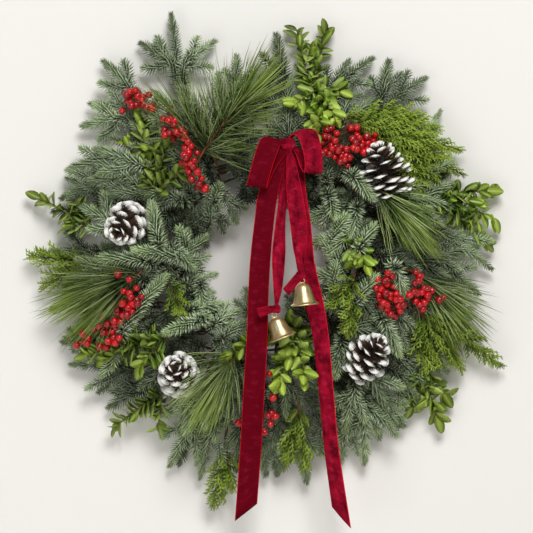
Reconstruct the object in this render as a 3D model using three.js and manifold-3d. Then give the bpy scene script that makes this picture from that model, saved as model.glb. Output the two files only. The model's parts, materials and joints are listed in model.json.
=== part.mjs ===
// Fresh evergreen wreath with a red velvet bow and two brass bells, hung on a wall.
// Millimetres. X is to the right, Z is up, the wall is the plane y = 0 and the front looks along -Y.
// The origin is where the hanging loop bears on its nail. Every place below is first given from the
// centre of the wire ring as (x, z, depth), where depth is the distance in front of the wall.

import * as THREE from "three";
import { mergeVertices } from "three/addons/utils/BufferGeometryUtils.js";
import Module from "manifold-3d";

const wasm = await Module();
wasm.setup();

// ---------------------------------------------------------------------------------------------
// Driving dimensions
// ---------------------------------------------------------------------------------------------

const GAP = 0.35;                    // between pieces that bear on each other

// Wire ring of two rails with clamps that hold the bunches
const RAIL_INNER = 112;
const RAIL_OUTER = 142;
const RAIL_WIRE = 1.6;               // wire radius
const RAIL_DEPTH = 4.9;              // leaves room for the hanging loop's wrap behind the rail
const RAIL_STEPS = 26;
const CLAMP_COUNT = 10;
const CLAMP_WIRE = 1.4;
const CLAMP_TIP = 62;                // degrees from the plane of the rails up to a clamp's open tip
const CLAMP_BEND = 48;               // degrees from one bend of a clamp to the next
const BUNDLE_RADIUS = 7;             // tied butts of one bunch of fir
const BUNDLE_LENGTH = 30;
const BUNDLE_RING = (RAIL_INNER + RAIL_OUTER) / 2;
const CLAMP_REACH = BUNDLE_RADIUS + GAP + CLAMP_WIRE;
const BUNDLE_DEPTH = RAIL_DEPTH + CLAMP_REACH + 0.25;

// Hanging loop over the top of the outer rail
const LOOP_RADIUS = 9.2;
const LOOP_WIRE = 1.2;
const LOOP_LINE_HALF = 4.5;          // half the depth that the wrap keeps clear round the rail
const NAIL_LENGTH = 16;              // kept clear in front of the wall, inside the loop
const WRAP_RADIUS = RAIL_WIRE + 2 * GAP + LOOP_WIRE;
const LOOP_HEIGHT = RAIL_OUTER + WRAP_RADIUS + LOOP_RADIUS;
const HANG_DROP = LOOP_HEIGHT + LOOP_RADIUS - LOOP_WIRE;

// Mound of greenery: how far it stands off the wall, at a radius from the ring's centre
const MOUND_BACK = 28;
const MOUND_RISE = 62;
const MOUND_RING = 145;
const MOUND_HALF_WIDTH = 130;
const WALL_CLEARANCE = 0.9;
const HOLE_RADIUS = 54;
const HOLE_CENTRE = [-8, 0];

// Picks: the bare stem ends that cross both rails between two bunches
const PICK_RADIUS = 2;
const PICK_INNER = 106;
const PICK_OUTER = 148;
const PICK_ANGLES = [10, 15, 21, 26];   // degrees past each clamp
const PICK_STEP = 30;

// Greenery
const FIR_NEEDLE = 17;
const FIR_PITCH = 7.8;               // between the rings of needles
const FIR_BARE_PITCH = 24;
const PINE_NEEDLE = 78;
const PINE_LEAFY = 46;
const CEDAR_BRANCHLET = 22;
const BOXWOOD_STEM = [1.6, 1.3];     // radius at the root and at the tip
const BOXWOOD_LEAF = 22;
const BOXWOOD_HALF_WIDTH = 6;
const BOXWOOD_PITCH = 14;
const BOXWOOD_LEAFY = 34;            // length of branch that carries crossed pairs of leaves
const LEAF_BROADEST = 0.5;           // of its length
const BERRY_TWIG = 1.3;
const BERRY_RADIUS = 4.4;
const BERRY_PITCH = 13.5;
const CONE_LENGTH = 56;
const CONE_RADIUS = 27;
const CONE_SIDES = 6;
const CONE_RINGS = 5;
const CONE_SCALE_HALF = [5, 1.4];    // half the width and thickness of a scale's end

// Ribbon, bow and bells
const RIBBON_THICKNESS = 1;
const TAIL_PITCH = 24;               // between the cross-sections of a strip
const BELL_RIBBON_PITCH = 30;
const BOW_PITCH = 11;
const BOW_KNOT = { centre: [32, 147, 104], radii: [11, 8, 9] };
const BELL_HEIGHT = 28;
const BELL_WALL = 1.2;
const BELL_MOUTH = 17.5;             // radius at the lip
const BELL_SEGMENTS = 10;
const CROWN_LOOP = 3;
const CROWN_WIRE = 0.8;
const CLAPPER_EYE = 1.2;
const CLAPPER_ROD = 0.6;
const CLAPPER_DROP = 15;
const CLAPPER_BALL = 2.8;

// ---------------------------------------------------------------------------------------------
// Places
// ---------------------------------------------------------------------------------------------

const FRONT = new THREE.Vector3(0, -1, 0);
const at = (x, z, depth) => new THREE.Vector3(x, -depth, z);
const radians = THREE.MathUtils.degToRad;

function ringPoint(radius, degrees, depth) {
  return at(radius * Math.cos(radians(degrees)), radius * Math.sin(radians(degrees)), depth);
}

/** Depth of the mound at (x, z): layer 0.4 is near the wall, 1 is the front of the greenery. */
function inMound(x, z, layer) {
  const across = THREE.MathUtils.clamp((Math.hypot(x, z) - MOUND_RING) / MOUND_HALF_WIDTH, -1, 1);
  const depth = MOUND_BACK + MOUND_RISE * Math.cos(across * Math.PI / 2) ** 2;
  return at(x, z, layer * depth);
}

/** Repeatable random numbers from 0 to 1. */
function randomFrom(seed) {
  let state = seed;
  return () => {
    state = (state + 0x6d2b79f5) | 0;
    let mixed = Math.imul(state ^ (state >>> 15), 1 | state);
    mixed = (mixed + Math.imul(mixed ^ (mixed >>> 7), 61 | mixed)) ^ mixed;
    return ((mixed ^ (mixed >>> 14)) >>> 0) / 4294967296;
  };
}

// ---------------------------------------------------------------------------------------------
// Shells and solids
// ---------------------------------------------------------------------------------------------

/** A closed surface made point by point. Rings run counter-clockwise as seen from their tip side. */
class Shell {
  constructor() {
    this.points = [];
    this.faces = [];
  }

  point(place) {
    this.points.push(place.x, place.y, place.z);
    return this.points.length / 3 - 1;
  }

  face(a, b, c) {
    this.faces.push(a, b, c);
  }

  loft(from, to) {
    from.forEach((corner, k) => {
      const next = (k + 1) % from.length;
      this.face(corner, from[next], to[next]);
      this.face(corner, to[next], to[k]);
    });
  }

  fan(ring, tip) {
    ring.forEach((corner, k) => this.face(corner, ring[(k + 1) % ring.length], tip));
  }

  cap(ring) {
    for (let k = 2; k < ring.length; k++) {
      this.face(ring[0], ring[k - 1], ring[k]);
    }
  }

  solid() {
    return solidFrom(new Float32Array(this.points), new Uint32Array(this.faces));
  }
}

function solidFrom(vertProperties, triVerts) {
  return new wasm.Manifold(new wasm.Mesh({ numProp: 3, vertProperties, triVerts }));
}

/** Turns one of the standard shapes into a solid. */
function solidOf(geometry) {
  geometry.deleteAttribute("normal");
  geometry.deleteAttribute("uv");
  const merged = mergeVertices(geometry, 1e-4);
  const { position } = merged.attributes;
  return solidFrom(new Float32Array(position.array), new Uint32Array(merged.index.array));
}

function geometryOf(solid) {
  const mesh = solid.getMesh();
  const geometry = new THREE.BufferGeometry();
  geometry.setAttribute("position", new THREE.BufferAttribute(mesh.vertProperties, 3));
  geometry.setIndex(new THREE.BufferAttribute(mesh.triVerts, 1));
  return geometry;
}

/** Joins solids into one and drops any loose scrap. */
function join(solids) {
  const whole = solids.reduce((sum, next) => sum.add(next));
  return whole.decompose().reduce((best, next) => (next.volume() > best.volume() ? next : best));
}

function ellipsoid(centre, radii, detail, grow = 0) {
  const shape = new THREE.IcosahedronGeometry(1, detail);
  shape.scale(radii[0] + grow, radii[1] + grow, radii[2] + grow);
  shape.translate(centre.x, centre.y, centre.z);
  return solidOf(shape);
}

function ball(centre, radius, detail) {
  return ellipsoid(centre, [radius, radius, radius], detail);
}

/** A torus with its axis along `axis`, its joints set off by a third of a step. */
function wireRing(centre, axis, radius, wire, sides, steps) {
  const shape = new THREE.TorusGeometry(radius, wire, sides, steps);
  shape.rotateZ(2 * Math.PI / steps / 3);
  const turn = new THREE.Quaternion().setFromUnitVectors(new THREE.Vector3(0, 0, 1), axis);
  shape.applyQuaternion(turn);
  shape.translate(centre.x, centre.y, centre.z);
  return solidOf(shape);
}

// ---------------------------------------------------------------------------------------------
// Space already taken: every piece claims capsules, and later twigs and needles keep clear of them
// ---------------------------------------------------------------------------------------------

const taken = [];
const CLEARANCE = 0.45;
const SAME_STEM_CLEARANCE = 0.12;
const ROOT_SHARE = 0.35;             // of a sprout, left out when it is set against its neighbours

function capsule(a, b, ra, rb, owner, isSprout = false) {
  const centre = a.clone().lerp(b, 0.5);
  const reach = a.distanceTo(b) / 2 + Math.max(ra, rb);
  return { a, b, ra, rb, centre, reach, isSprout, ...owner };
}

function claim(a, b, ra, rb, owner, isSprout) {
  taken.push(capsule(a, b, ra, rb, owner, isSprout));
}

/** Smallest distance between the surfaces of two tapered capsules. */
function gapBetween(one, two) {
  const d1 = one.b.clone().sub(one.a);
  const d2 = two.b.clone().sub(two.a);
  const between = one.a.clone().sub(two.a);
  const a = Math.max(d1.lengthSq(), 1e-9);
  const e = Math.max(d2.lengthSq(), 1e-9);
  const b = d1.dot(d2);
  const c = d1.dot(between);
  const f = d2.dot(between);
  const spread = a * e - b * b;
  let s = spread > 1e-9 ? THREE.MathUtils.clamp((b * f - c * e) / spread, 0, 1) : 0;
  let t = (b * s + f) / e;
  if (t < 0 || t > 1) {
    t = THREE.MathUtils.clamp(t, 0, 1);
    s = THREE.MathUtils.clamp((b * t - c) / a, 0, 1);
  }
  const distance = between.addScaledVector(d1, s).addScaledVector(d2, -t).length();
  const { lerp } = THREE.MathUtils;
  return distance - lerp(one.ra, one.rb, s) - lerp(two.ra, two.rb, t);
}

function outerPart(limb) {
  const start = limb.a.clone().lerp(limb.b, ROOT_SHARE);
  return capsule(start, limb.b, THREE.MathUtils.lerp(limb.ra, limb.rb, ROOT_SHARE), limb.rb, limb);
}

function standsOffWall(limb) {
  return -limb.a.y - limb.ra > WALL_CLEARANCE && -limb.b.y - limb.rb > WALL_CLEARANCE;
}

/** True where a sprout touches nothing, its own stem aside. */
function sproutIsClear(limb) {
  return standsOffWall(limb) && taken.every((other) => {
    if (other.centre.distanceTo(limb.centre) > other.reach + limb.reach + CLEARANCE) {
      return true;
    }
    if (other.stem !== limb.stem) {
      return gapBetween(limb, other) > CLEARANCE;
    }
    return !other.isSprout || gapBetween(outerPart(limb), outerPart(other)) > SAME_STEM_CLEARANCE;
  });
}

/** A stem's way with its pointed end added to it. */
function withTip(points, length) {
  const last = points.at(-1);
  const along = last.clone().sub(points.at(-2)).normalize();
  return [...points, last.clone().addScaledVector(along, length)];
}

/** True where a stem touches no other node, nor a sprout of its own. */
function stemIsClear(points, radius, node) {
  return points.slice(1).every((point, i) => {
    const limb = capsule(points[i], point, radius, radius, { node });
    return standsOffWall(limb) && taken.every((other) => {
      if (other.node === node && !other.isSprout) {
        return true;
      }
      const near = other.centre.distanceTo(limb.centre) < other.reach + limb.reach + 1;
      return !near || gapBetween(limb, other) > CLEARANCE;
    });
  });
}

// ---------------------------------------------------------------------------------------------
// Stems: a slim tube in rings of a few sides, with sprouts raised from the cells of its surface
// ---------------------------------------------------------------------------------------------

/** Frames carried along without twist, from the tip or the root, where the normal faces the front. */
function framesAlong(points, fromRoot = false) {
  const last = points.length - 1;
  const order = points.map((_, i) => (fromRoot ? i : last - i));
  const step = (i) => points[i + 1].clone().sub(points[i]).normalize();
  const alongAt = (i) => step(Math.max(i - 1, 0)).add(step(Math.min(i, last - 1))).normalize();
  let along = alongAt(order[0]);
  const normal = FRONT.clone();
  if (Math.abs(along.dot(normal)) > 0.9) {
    normal.set(0.3, 0, 1);
  }
  normal.addScaledVector(along, -normal.dot(along)).normalize();
  const frames = [];
  for (const i of order) {
    const next = alongAt(i);
    normal.applyQuaternion(new THREE.Quaternion().setFromUnitVectors(along, next));
    along = next;
    frames[i] = { point: points[i], along, normal: normal.clone(), side: along.clone().cross(normal) };
  }
  return frames;
}

function ringOf(shell, frame, radius, style, index) {
  const ring = [];
  for (let k = 0; k < style.sides; k++) {
    const angle = (k + style.offset + index * style.turn) * 2 * Math.PI / style.sides;
    const place = frame.point.clone();
    place.addScaledVector(frame.normal, radius * style.flat * Math.cos(angle));
    place.addScaledVector(frame.side, radius * Math.sin(angle));
    ring.push(shell.point(place));
  }
  return ring;
}

function placeOf(shell, index) {
  return new THREE.Vector3().fromArray(shell.points, index * 3);
}

/** One cell of a stem's surface, between two rings and two neighbouring corners. */
function cellOf(shell, lower, upper, frame, nextFrame, k) {
  const next = (k + 1) % lower.length;
  const corners = [lower[k], lower[next], upper[next], upper[k]];
  const places = corners.map((corner) => placeOf(shell, corner));
  const centre = places.reduce((sum, place) => sum.add(place), new THREE.Vector3()).multiplyScalar(0.25);
  const along = nextFrame.point.clone().sub(frame.point).normalize();
  const middle = frame.point.clone().lerp(nextFrame.point, 0.5);
  const out = centre.clone().sub(middle);
  out.addScaledVector(along, -out.dot(along)).normalize();
  return { corners, centre, along, out, edge: places[1].clone().sub(places[0]), k };
}

/** A sprout that would touch something is tried shorter, and then left out. */
const SHORTER = [1, 0.82, 0.64, 0.46];

function raiseSprout(shell, cell, sprout, owner) {
  const scale = sprout && SHORTER.find((share) => sprout.limbs(share, owner).every(sproutIsClear));
  if (scale) {
    sprout.limbs(scale, owner).forEach((limb) => taken.push(limb));
    sprout.build(shell, cell.corners, scale);
    return;
  }
  const [c0, c1, c2, c3] = cell.corners;
  shell.face(c0, c1, c3);
  shell.face(c1, c2, c3);
}

/** Grows the surface of a stem whose path and radii are given ring by ring. */
function growStem(points, radii, style, owner) {
  const shell = new Shell();
  const frames = framesAlong(points, style.fromRoot);
  const rings = frames.map((frame, i) => ringOf(shell, frame, radii[i], style, i));
  const last = rings.length - 1;
  for (let i = 0; i < last; i++) {
    for (let k = 0; k < style.sides; k++) {
      const cell = cellOf(shell, rings[i], rings[i + 1], frames[i], frames[i + 1], k);
      const isLeafy = i >= style.leafyFrom;
      const share = (i - style.leafyFrom) / Math.max(last - style.leafyFrom, 1);
      const sprout = isLeafy ? style.sprout(cell, share, i - style.leafyFrom) : null;
      raiseSprout(shell, cell, sprout, owner);
    }
  }
  const start = shell.point(points[0].clone().addScaledVector(frames[0].along, -0.3));
  const tip = shell.point(points[last].clone().addScaledVector(frames[last].along, style.tip));
  shell.fan(rings[0].slice().reverse(), start);
  shell.fan(rings[last], tip);
  return shell.solid();
}

/** Corners are set off so that no two wires that cross share an edge. */
const BARE = { sides: 4, offset: 0.38, turn: 0, flat: 1, leafyFrom: Infinity, tip: 0.3 };

/** A bare wire or stem along given points. */
function wire(points, radius, sides = 4) {
  return growStem(points, points.map(() => radius), { ...BARE, sides }, {});
}

function claimPath(points, radius, owner) {
  points.slice(1).forEach((point, i) => claim(points[i], point, radius, radius, owner));
}

/** Points along a smooth curve, about `pitch` apart. */
function spread(knots, pitch) {
  const curve = new THREE.CatmullRomCurve3(knots, false, "centripetal");
  const steps = Math.max(2, Math.round(curve.getLength() / pitch));
  return curve.getSpacedPoints(steps);
}

/** Direction of a sprout that leans out from its stem. */
function leaning(cell, lean) {
  return cell.along.clone().multiplyScalar(Math.cos(lean)).addScaledVector(cell.out, Math.sin(lean));
}

/** A spike that narrows to a point: a needle, or a scaly branchlet. */
function spike(cell, lean, length, rootRadius) {
  const direction = leaning(cell, lean);
  const apex = (share) => cell.centre.clone().addScaledVector(direction, length * share);
  return {
    limbs: (share, owner) => [capsule(cell.centre, apex(share), rootRadius, 0.2, owner, true)],
    build: (shell, corners, share) => shell.fan(corners, shell.point(apex(share))),
  };
}

/** A leaf with a raised midrib, widest before its middle, that grows from the lower half of a cell. */
function leaf(cell, lean, length, halfWidth) {
  const direction = leaning(cell, lean);
  const across = cell.edge.clone().addScaledVector(direction, -cell.edge.dot(direction)).normalize();
  const face = cell.along.clone().addScaledVector(direction, -cell.along.dot(direction)).normalize();
  const place = (share, u, side, up) => cell.centre.clone()
    .addScaledVector(direction, length * share * u)
    .addScaledVector(across, halfWidth * side * Math.min(1, share + 0.15))
    .addScaledVector(face, up);
  return {
    limbs: (share, owner) => {
      const root = place(share, 0.05, 0, 0);
      const tip = place(share, 1, 0, 0);
      const edges = [-0.8, 0.8].map((side) => place(share, LEAF_BROADEST, side, 0));
      return [
        capsule(root, tip, 1.1, 0.4, owner, true),
        ...edges.flatMap((edge) => [
          capsule(root, edge, 0.9, 1.2, owner, true),
          capsule(edge, tip, 1.2, 0.4, owner, true),
        ]),
      ];
    },
    build: (shell, [c0, c1, c2, c3], share) => {
      const section = (u, width, rise) => [[-width, -0.2], [width, -0.2], [0, rise]]
        .map(([side, up]) => shell.point(place(share, u, side, up)));
      const broad = section(LEAF_BROADEST, 1, 1.1);
      shell.loft([c0, c1, c3], broad);
      shell.fan(broad, shell.point(place(share, 1, 0, 0)));
      shell.face(c1, c2, c3);
    },
  };
}

// ---------------------------------------------------------------------------------------------
// The object's nodes
// ---------------------------------------------------------------------------------------------

const wreath = new THREE.Group();
wreath.position.z = -HANG_DROP;

const FINISHES = {
  wire: { color: 0x3c4a38, roughness: 0.5, metalness: 0.7 },
  loop: { color: 0x6d6a62, roughness: 0.4, metalness: 0.8 },
  fir: { color: 0x6f8a78, roughness: 0.7, metalness: 0 },
  pine: { color: 0x5d8a3a, roughness: 0.6, metalness: 0 },
  cedar: { color: 0x8fa83c, roughness: 0.7, metalness: 0 },
  boxwood: { color: 0x7cab3a, roughness: 0.5, metalness: 0 },
  berry: { color: 0xc8102e, roughness: 0.25, metalness: 0 },
  cone: { color: 0x4a3020, roughness: 0.9, metalness: 0 },
  ribbon: { color: 0xa3112b, roughness: 0.8, metalness: 0 },
  brass: { color: 0xa08a50, roughness: 0.4, metalness: 0.9 },
};

function addNode(name, solid, finish) {
  const mesh = new THREE.Mesh(geometryOf(solid), new THREE.MeshStandardMaterial(FINISHES[finish]));
  mesh.name = name;
  wreath.add(mesh);
}

// Wire ring and hanging loop ------------------------------------------------------------------

const CLAMP_ANGLES = Array.from({ length: CLAMP_COUNT }, (_, k) => k * 360 / CLAMP_COUNT);

/** One clamp: from its open tip down round the bundle, under both rails, and up to the other tip. */
function clampPoints(degrees) {
  const reach = CLAMP_REACH / Math.cos(radians(CLAMP_BEND / 2));
  const onArc = (bend) => {
    const turn = radians(CLAMP_TIP - bend * CLAMP_BEND);
    return [reach * Math.cos(turn), BUNDLE_DEPTH + reach * Math.sin(turn)];
  };
  const foot = [(RAIL_OUTER - RAIL_INNER) / 2, RAIL_DEPTH];
  const outer = [...[0, 1, 2].map(onArc), foot];
  const inner = outer.map(([out, depth]) => [-out, depth]).reverse();
  return [...outer, ...inner].map(([out, depth]) => ringPoint(BUNDLE_RING + out, degrees, depth));
}

function railPoints(radius) {
  const step = 360 / RAIL_STEPS;
  return Array.from({ length: RAIL_STEPS + 1 }, (_, i) => ringPoint(radius, i * step, RAIL_DEPTH));
}

function makeFrame() {
  const owner = { node: "wire_frame" };
  const rails = [RAIL_INNER, RAIL_OUTER].map((radius) => {
    claimPath(railPoints(radius), RAIL_WIRE, owner);
    return wireRing(at(0, 0, RAIL_DEPTH), FRONT, radius, RAIL_WIRE, 4, RAIL_STEPS);
  });
  const clamps = CLAMP_ANGLES.map((degrees) => {
    const points = clampPoints(degrees);
    claimPath(points, CLAMP_WIRE, owner);
    return wire(points, CLAMP_WIRE, 3);
  });
  addNode("wire_frame", join([...rails, ...clamps]), "wire");
}

/** A ring for the nail, joined to a smaller ring that wraps the outer rail. */
function makeHangingLoop() {
  const owner = { node: "hanging_loop" };
  const rightward = new THREE.Vector3(1, 0, 0);
  const loop = wireRing(at(0, LOOP_HEIGHT, RAIL_DEPTH), FRONT, LOOP_RADIUS, LOOP_WIRE, 4, 16);
  const wrap = wireRing(at(0, RAIL_OUTER, RAIL_DEPTH), rightward, WRAP_RADIUS, LOOP_WIRE, 4, 8);
  claimPath([at(0, LOOP_HEIGHT, -5), at(0, LOOP_HEIGHT, NAIL_LENGTH)], LOOP_RADIUS + LOOP_WIRE, owner);
  claimPath([RAIL_OUTER - 4, RAIL_OUTER + 4].map((z) => at(0, z, RAIL_DEPTH)), LOOP_LINE_HALF, owner);
  addNode("hanging_loop", join([loop, wrap]), "loop");
}

// Ribbon, bow and bells -----------------------------------------------------------------------

/** Each strip: left and right edges as (x, z, depth) at stations from the knot outward. */
const STRIPS = {
  ribbon_tail_left: [
    [[27, 141, 105.5], [35, 141, 105.5]],
    [[11, 121, 106], [29, 121, 106]],
    [[-4, 87.5, 106], [20.5, 87.5, 106]],
    [[-10, 46, 105], [14.5, 46, 105]],
    [[-15, 0, 104], [10.5, 0, 104]],
    [[-17.5, -47.5, 103], [8, -47.5, 103]],
    [[-19, -91, 103], [7, -91, 103]],
    [[-24, -172.5, 102], [2.5, -172.5, 102]],
    [[-27.5, -235, 92], [-1, -235, 92]],
    [[-34, -324, 80], [-6, -302, 82]],
  ],
  ribbon_tail_right: [
    [[31, 141, 99], [39, 141, 99]],
    [[34, 121, 98], [51, 121, 100]],
    [[35, 87.5, 92], [55, 87.5, 98]],
    [[37, 46, 89], [61, 46, 97]],
    [[42.5, 0, 88], [65.5, 0, 97]],
    [[52.5, -47.5, 90], [76, -47.5, 99]],
    [[63, -91, 94], [83, -91, 103]],
    [[72, -172.5, 95], [90, -172.5, 106]],
    [[78, -235, 86], [96, -235, 100]],
    [[87.5, -306, 76], [111, -332.5, 86]],
  ],
  bell_ribbon_left: [
    [[29, 141, 102.2], [35, 141, 102.2]],
    [[22, 121, 101.6], [33, 121, 101.6]],
    [[21.5, 87.5, 101], [32, 87.5, 101]],
    [[16.5, 46, 108], [29, 46, 104]],
    [[12.5, 9, 113], [29, 9, 108]],
    [[14, -29, 115], [25.5, -29, 112]],
    [[15.5, -50, 116], [21, -50, 115]],
    [[16, -58, 116], [19, -58, 116]],
  ],
  bell_ribbon_right: [
    [[31, 141, 109], [36, 141, 109]],
    [[30, 121, 111], [42.5, 121, 111]],
    [[30.5, 87.5, 113], [50, 87.5, 112]],
    [[35, 46, 115], [56, 46, 114]],
    [[39, 15, 118], [55, 15, 117]],
    [[43, 0, 120], [52.5, 0, 119]],
    [[46, -12, 121], [51, -12, 121]],
    [[47, -16, 121], [49.5, -16, 121]],
  ],
  bow_loop_left: [
    [[26, 149, 108], [36, 147, 108]],
    [[10, 155, 112], [24, 145, 113]],
    [[-2, 152, 116], [21, 140, 118]],
    [[-10, 130, 124], [15, 124, 126]],
    [[-16, 108, 127], [9, 104, 129]],
    [[-19, 96, 122], [6, 92, 124]],
    [[-18, 99, 115], [8, 96, 116]],
    [[-6, 120, 111], [17, 116, 112]],
    [[12, 140, 108.6], [27, 131, 109.5]],
    [[26, 149, 105], [34, 143, 105]],
  ],
  bow_loop_right: [
    [[31, 151, 106], [36, 153, 103]],
    [[37, 158, 108], [51, 165, 99]],
    [[44, 156, 116], [67, 163, 109]],
    [[50, 141, 124], [73, 145, 117]],
    [[53, 124, 126], [75, 125, 119]],
    [[52, 112, 121], [74, 110, 114]],
    [[47, 119, 111], [67, 118, 105]],
    [[41, 136, 106], [53, 137, 101]],
    [[33, 145, 105], [38, 145, 102.5]],
  ],
};

function stripEdges(stations, pitch) {
  const curves = [0, 1].map((side) => {
    const knots = stations.map((station) => at(...station[side]));
    return new THREE.CatmullRomCurve3(knots, false, "centripetal");
  });
  const steps = Math.round((curves[0].getLength() + curves[1].getLength()) / 2 / pitch);
  return curves.map((curve) => curve.getPoints(steps));
}

/** A ribbon strip of even thickness between two smooth edges. */
function strip(stations, pitch) {
  const [left, right] = stripEdges(stations, pitch);
  const shell = new Shell();
  const rings = left.map((place, i) => {
    const last = left.length - 1;
    const middle = (j) => left[j].clone().add(right[j]);
    const along = middle(Math.min(i + 1, last)).sub(middle(Math.max(i - 1, 0))).normalize();
    const across = right[i].clone().sub(place).normalize();
    const up = along.clone().cross(across).normalize().multiplyScalar(RIBBON_THICKNESS / 2);
    return [
      shell.point(place.clone().add(up)),
      shell.point(place.clone().sub(up)),
      shell.point(right[i].clone().sub(up)),
      shell.point(right[i].clone().add(up)),
    ];
  });
  rings.slice(1).forEach((ring, i) => shell.loft(rings[i], ring));
  shell.cap(rings[0].slice().reverse());
  shell.cap(rings[rings.length - 1]);
  return shell.solid();
}

function claimStrip(stations, node) {
  const [left, right] = stripEdges(stations, BOW_PITCH);
  const lanes = 5;
  for (let i = 1; i < left.length; i++) {
    for (let lane = 0; lane < lanes; lane++) {
      const share = lane / (lanes - 1);
      const from = left[i - 1].clone().lerp(right[i - 1], share);
      const to = left[i].clone().lerp(right[i], share);
      const radius = left[i].distanceTo(right[i]) / (2 * lanes - 2) + RIBBON_THICKNESS;
      claim(from, to, radius, radius, { node });
    }
  }
}

const BELLS = {
  left: { crown: [16.25, -68.5, 115], mouth: [26.25, -94.7, 115], knot: [17.5, -58.5, 115.5] },
  right: { crown: [50.2, -26, 121], mouth: [53.2, -53.8, 121], knot: [48.4, -16, 121] },
};
const BELL_KNOT_RADII = [6.5, 5, 6];
const CUT_ENDS = {
  left: [
    [[12, -54, 117], [20, -60, 117]],
    [[4, -55, 118], [10, -64, 118]],
    [[-7, -58, 117], [-3, -69, 117]],
  ],
  right: [
    [[44, -12, 122], [52, -19, 122]],
    [[37, -20, 123], [44, -28, 123]],
    [[26, -33, 122], [33, -42, 122]],
  ],
};

/** A bell's profile as (radius, height above the lip): down its inner wall, and up its outer wall. */
function bellProfile() {
  const inner = [[0, BELL_HEIGHT - BELL_WALL], [7, 23], [9.2, 17.4], [11.6, 7.4], [BELL_MOUTH - 1.6, 0]];
  const lip = [[BELL_MOUTH, 0], [BELL_MOUTH - 0.5, 1.8]];
  const outer = [[12.6, 8], [10.4, 18], [8.2, 24], [4.4, 27], [0, BELL_HEIGHT]];
  return [...inner, ...lip, ...outer].map(([radius, height]) => new THREE.Vector2(radius, height));
}

function bellFrame(side) {
  const crown = at(...BELLS[side].crown);
  const mouth = at(...BELLS[side].mouth);
  const up = crown.clone().sub(mouth).normalize();
  return { crown, mouth: crown.clone().addScaledVector(up, -BELL_HEIGHT), up };
}

function crownLoop(side, grow) {
  const { crown, up } = bellFrame(side);
  const centre = crown.clone().addScaledVector(up, CROWN_LOOP + CROWN_WIRE - 1);
  return wireRing(centre, FRONT, CROWN_LOOP, CROWN_WIRE + grow, 4, 9);
}

function makeBell(side) {
  const { mouth, up } = bellFrame(side);
  const shape = new THREE.LatheGeometry(bellProfile(), BELL_SEGMENTS);
  shape.applyQuaternion(new THREE.Quaternion().setFromUnitVectors(new THREE.Vector3(0, 1, 0), up));
  shape.translate(mouth.x, mouth.y, mouth.z);
  addNode(`bell_${side}`, join([solidOf(shape), crownLoop(side, 0)]), "brass");
  const shoulder = mouth.clone().addScaledVector(up, BELL_HEIGHT * 0.8);
  claim(mouth, shoulder, BELL_MOUTH + 0.5, BELL_MOUTH * 0.63, { node: `bell_${side}` });
}

/** The clapper hangs straight down from its eye, just under the crown of the tilted bell. */
function makeClapper(side) {
  const { crown, up } = bellFrame(side);
  const eye = crown.clone().addScaledVector(up, -BELL_WALL - GAP - CLAPPER_EYE);
  const weight = eye.clone().add(new THREE.Vector3(0, 0, -CLAPPER_DROP));
  const rod = wire([eye, weight], CLAPPER_ROD);
  const solids = [ball(eye, CLAPPER_EYE, 0), rod, ball(weight, CLAPPER_BALL, 1)];
  addNode(`clapper_${side}`, join(solids), "brass");
}

function makeBow() {
  const centre = at(...BOW_KNOT.centre);
  const socket = ellipsoid(centre, BOW_KNOT.radii, 1, GAP);
  addNode("bow_knot", ellipsoid(centre, BOW_KNOT.radii, 1), "ribbon");
  claim(centre, centre, BOW_KNOT.radii[0], BOW_KNOT.radii[0], { node: "bow_knot" });
  for (const name of ["bow_loop_left", "bow_loop_right", "ribbon_tail_left", "ribbon_tail_right"]) {
    const pitch = name.includes("tail") ? TAIL_PITCH : BOW_PITCH;
    addNode(name, join([strip(STRIPS[name], pitch).subtract(socket)]), "ribbon");
    claimStrip(STRIPS[name], name);
  }
  for (const side of ["left", "right"]) {
    const name = `bell_ribbon_${side}`;
    const knot = ellipsoid(at(...BELLS[side].knot), BELL_KNOT_RADII, 1);
    const whole = join([strip(STRIPS[name], BELL_RIBBON_PITCH), knot, strip(CUT_ENDS[side], BOW_PITCH)]);
    addNode(name, join([whole.subtract(socket).subtract(crownLoop(side, GAP))]), "ribbon");
    claimStrip(STRIPS[name], name);
    claimStrip(CUT_ENDS[side], name);
  }
}

/** Florist's wire from the back of the bow's knot to a hook round the outer rail. */
function makeBowWire() {
  const radius = 1;
  const degrees = 78;
  const [x, z, depth] = BOW_KNOT.centre;
  const beside = RAIL_OUTER + RAIL_WIRE + GAP + radius + 0.1;
  const behind = RAIL_DEPTH - RAIL_WIRE - GAP - radius;
  const points = [
    at(x, z, depth - BOW_KNOT.radii[1] - GAP - 0.4),
    at(x - 1, z, 60),
    ringPoint(beside + 1, degrees, 22),
    ringPoint(beside, degrees, RAIL_DEPTH + 1),
    ringPoint(beside - 0.6, degrees, behind + 0.3),
    ringPoint(RAIL_OUTER - 1, degrees, behind),
    ringPoint(RAIL_OUTER - 3.4, degrees, behind + 1.2),
  ];
  claimPath(points, radius, { node: "bow_wire" });
  addNode("bow_wire", wire(points, radius), "loop");
}

// Picks ---------------------------------------------------------------------------------------

const slots = CLAMP_ANGLES.flatMap((clamp) => PICK_ANGLES.map((past) => clamp + past));

/** The free places on the rails, nearest to a spray first. */
function slotsNear(x, z) {
  const wanted = THREE.MathUtils.radToDeg(Math.atan2(z, x));
  const off = (angle) => Math.abs(((angle - wanted + 540) % 360 + 360) % 360 - 180);
  return slots.slice().sort((one, two) => off(one) - off(two));
}

/** A pick has three sides and lies with one of them flat on the rails. */
function pickStart(slot, radius, outward) {
  const [from, to] = outward ? [PICK_INNER, PICK_OUTER] : [PICK_OUTER, PICK_INNER];
  const depth = RAIL_DEPTH + RAIL_WIRE + GAP + radius / 2;
  return [ringPoint(from, slot, depth), ringPoint(to, slot, depth)];
}

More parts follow.
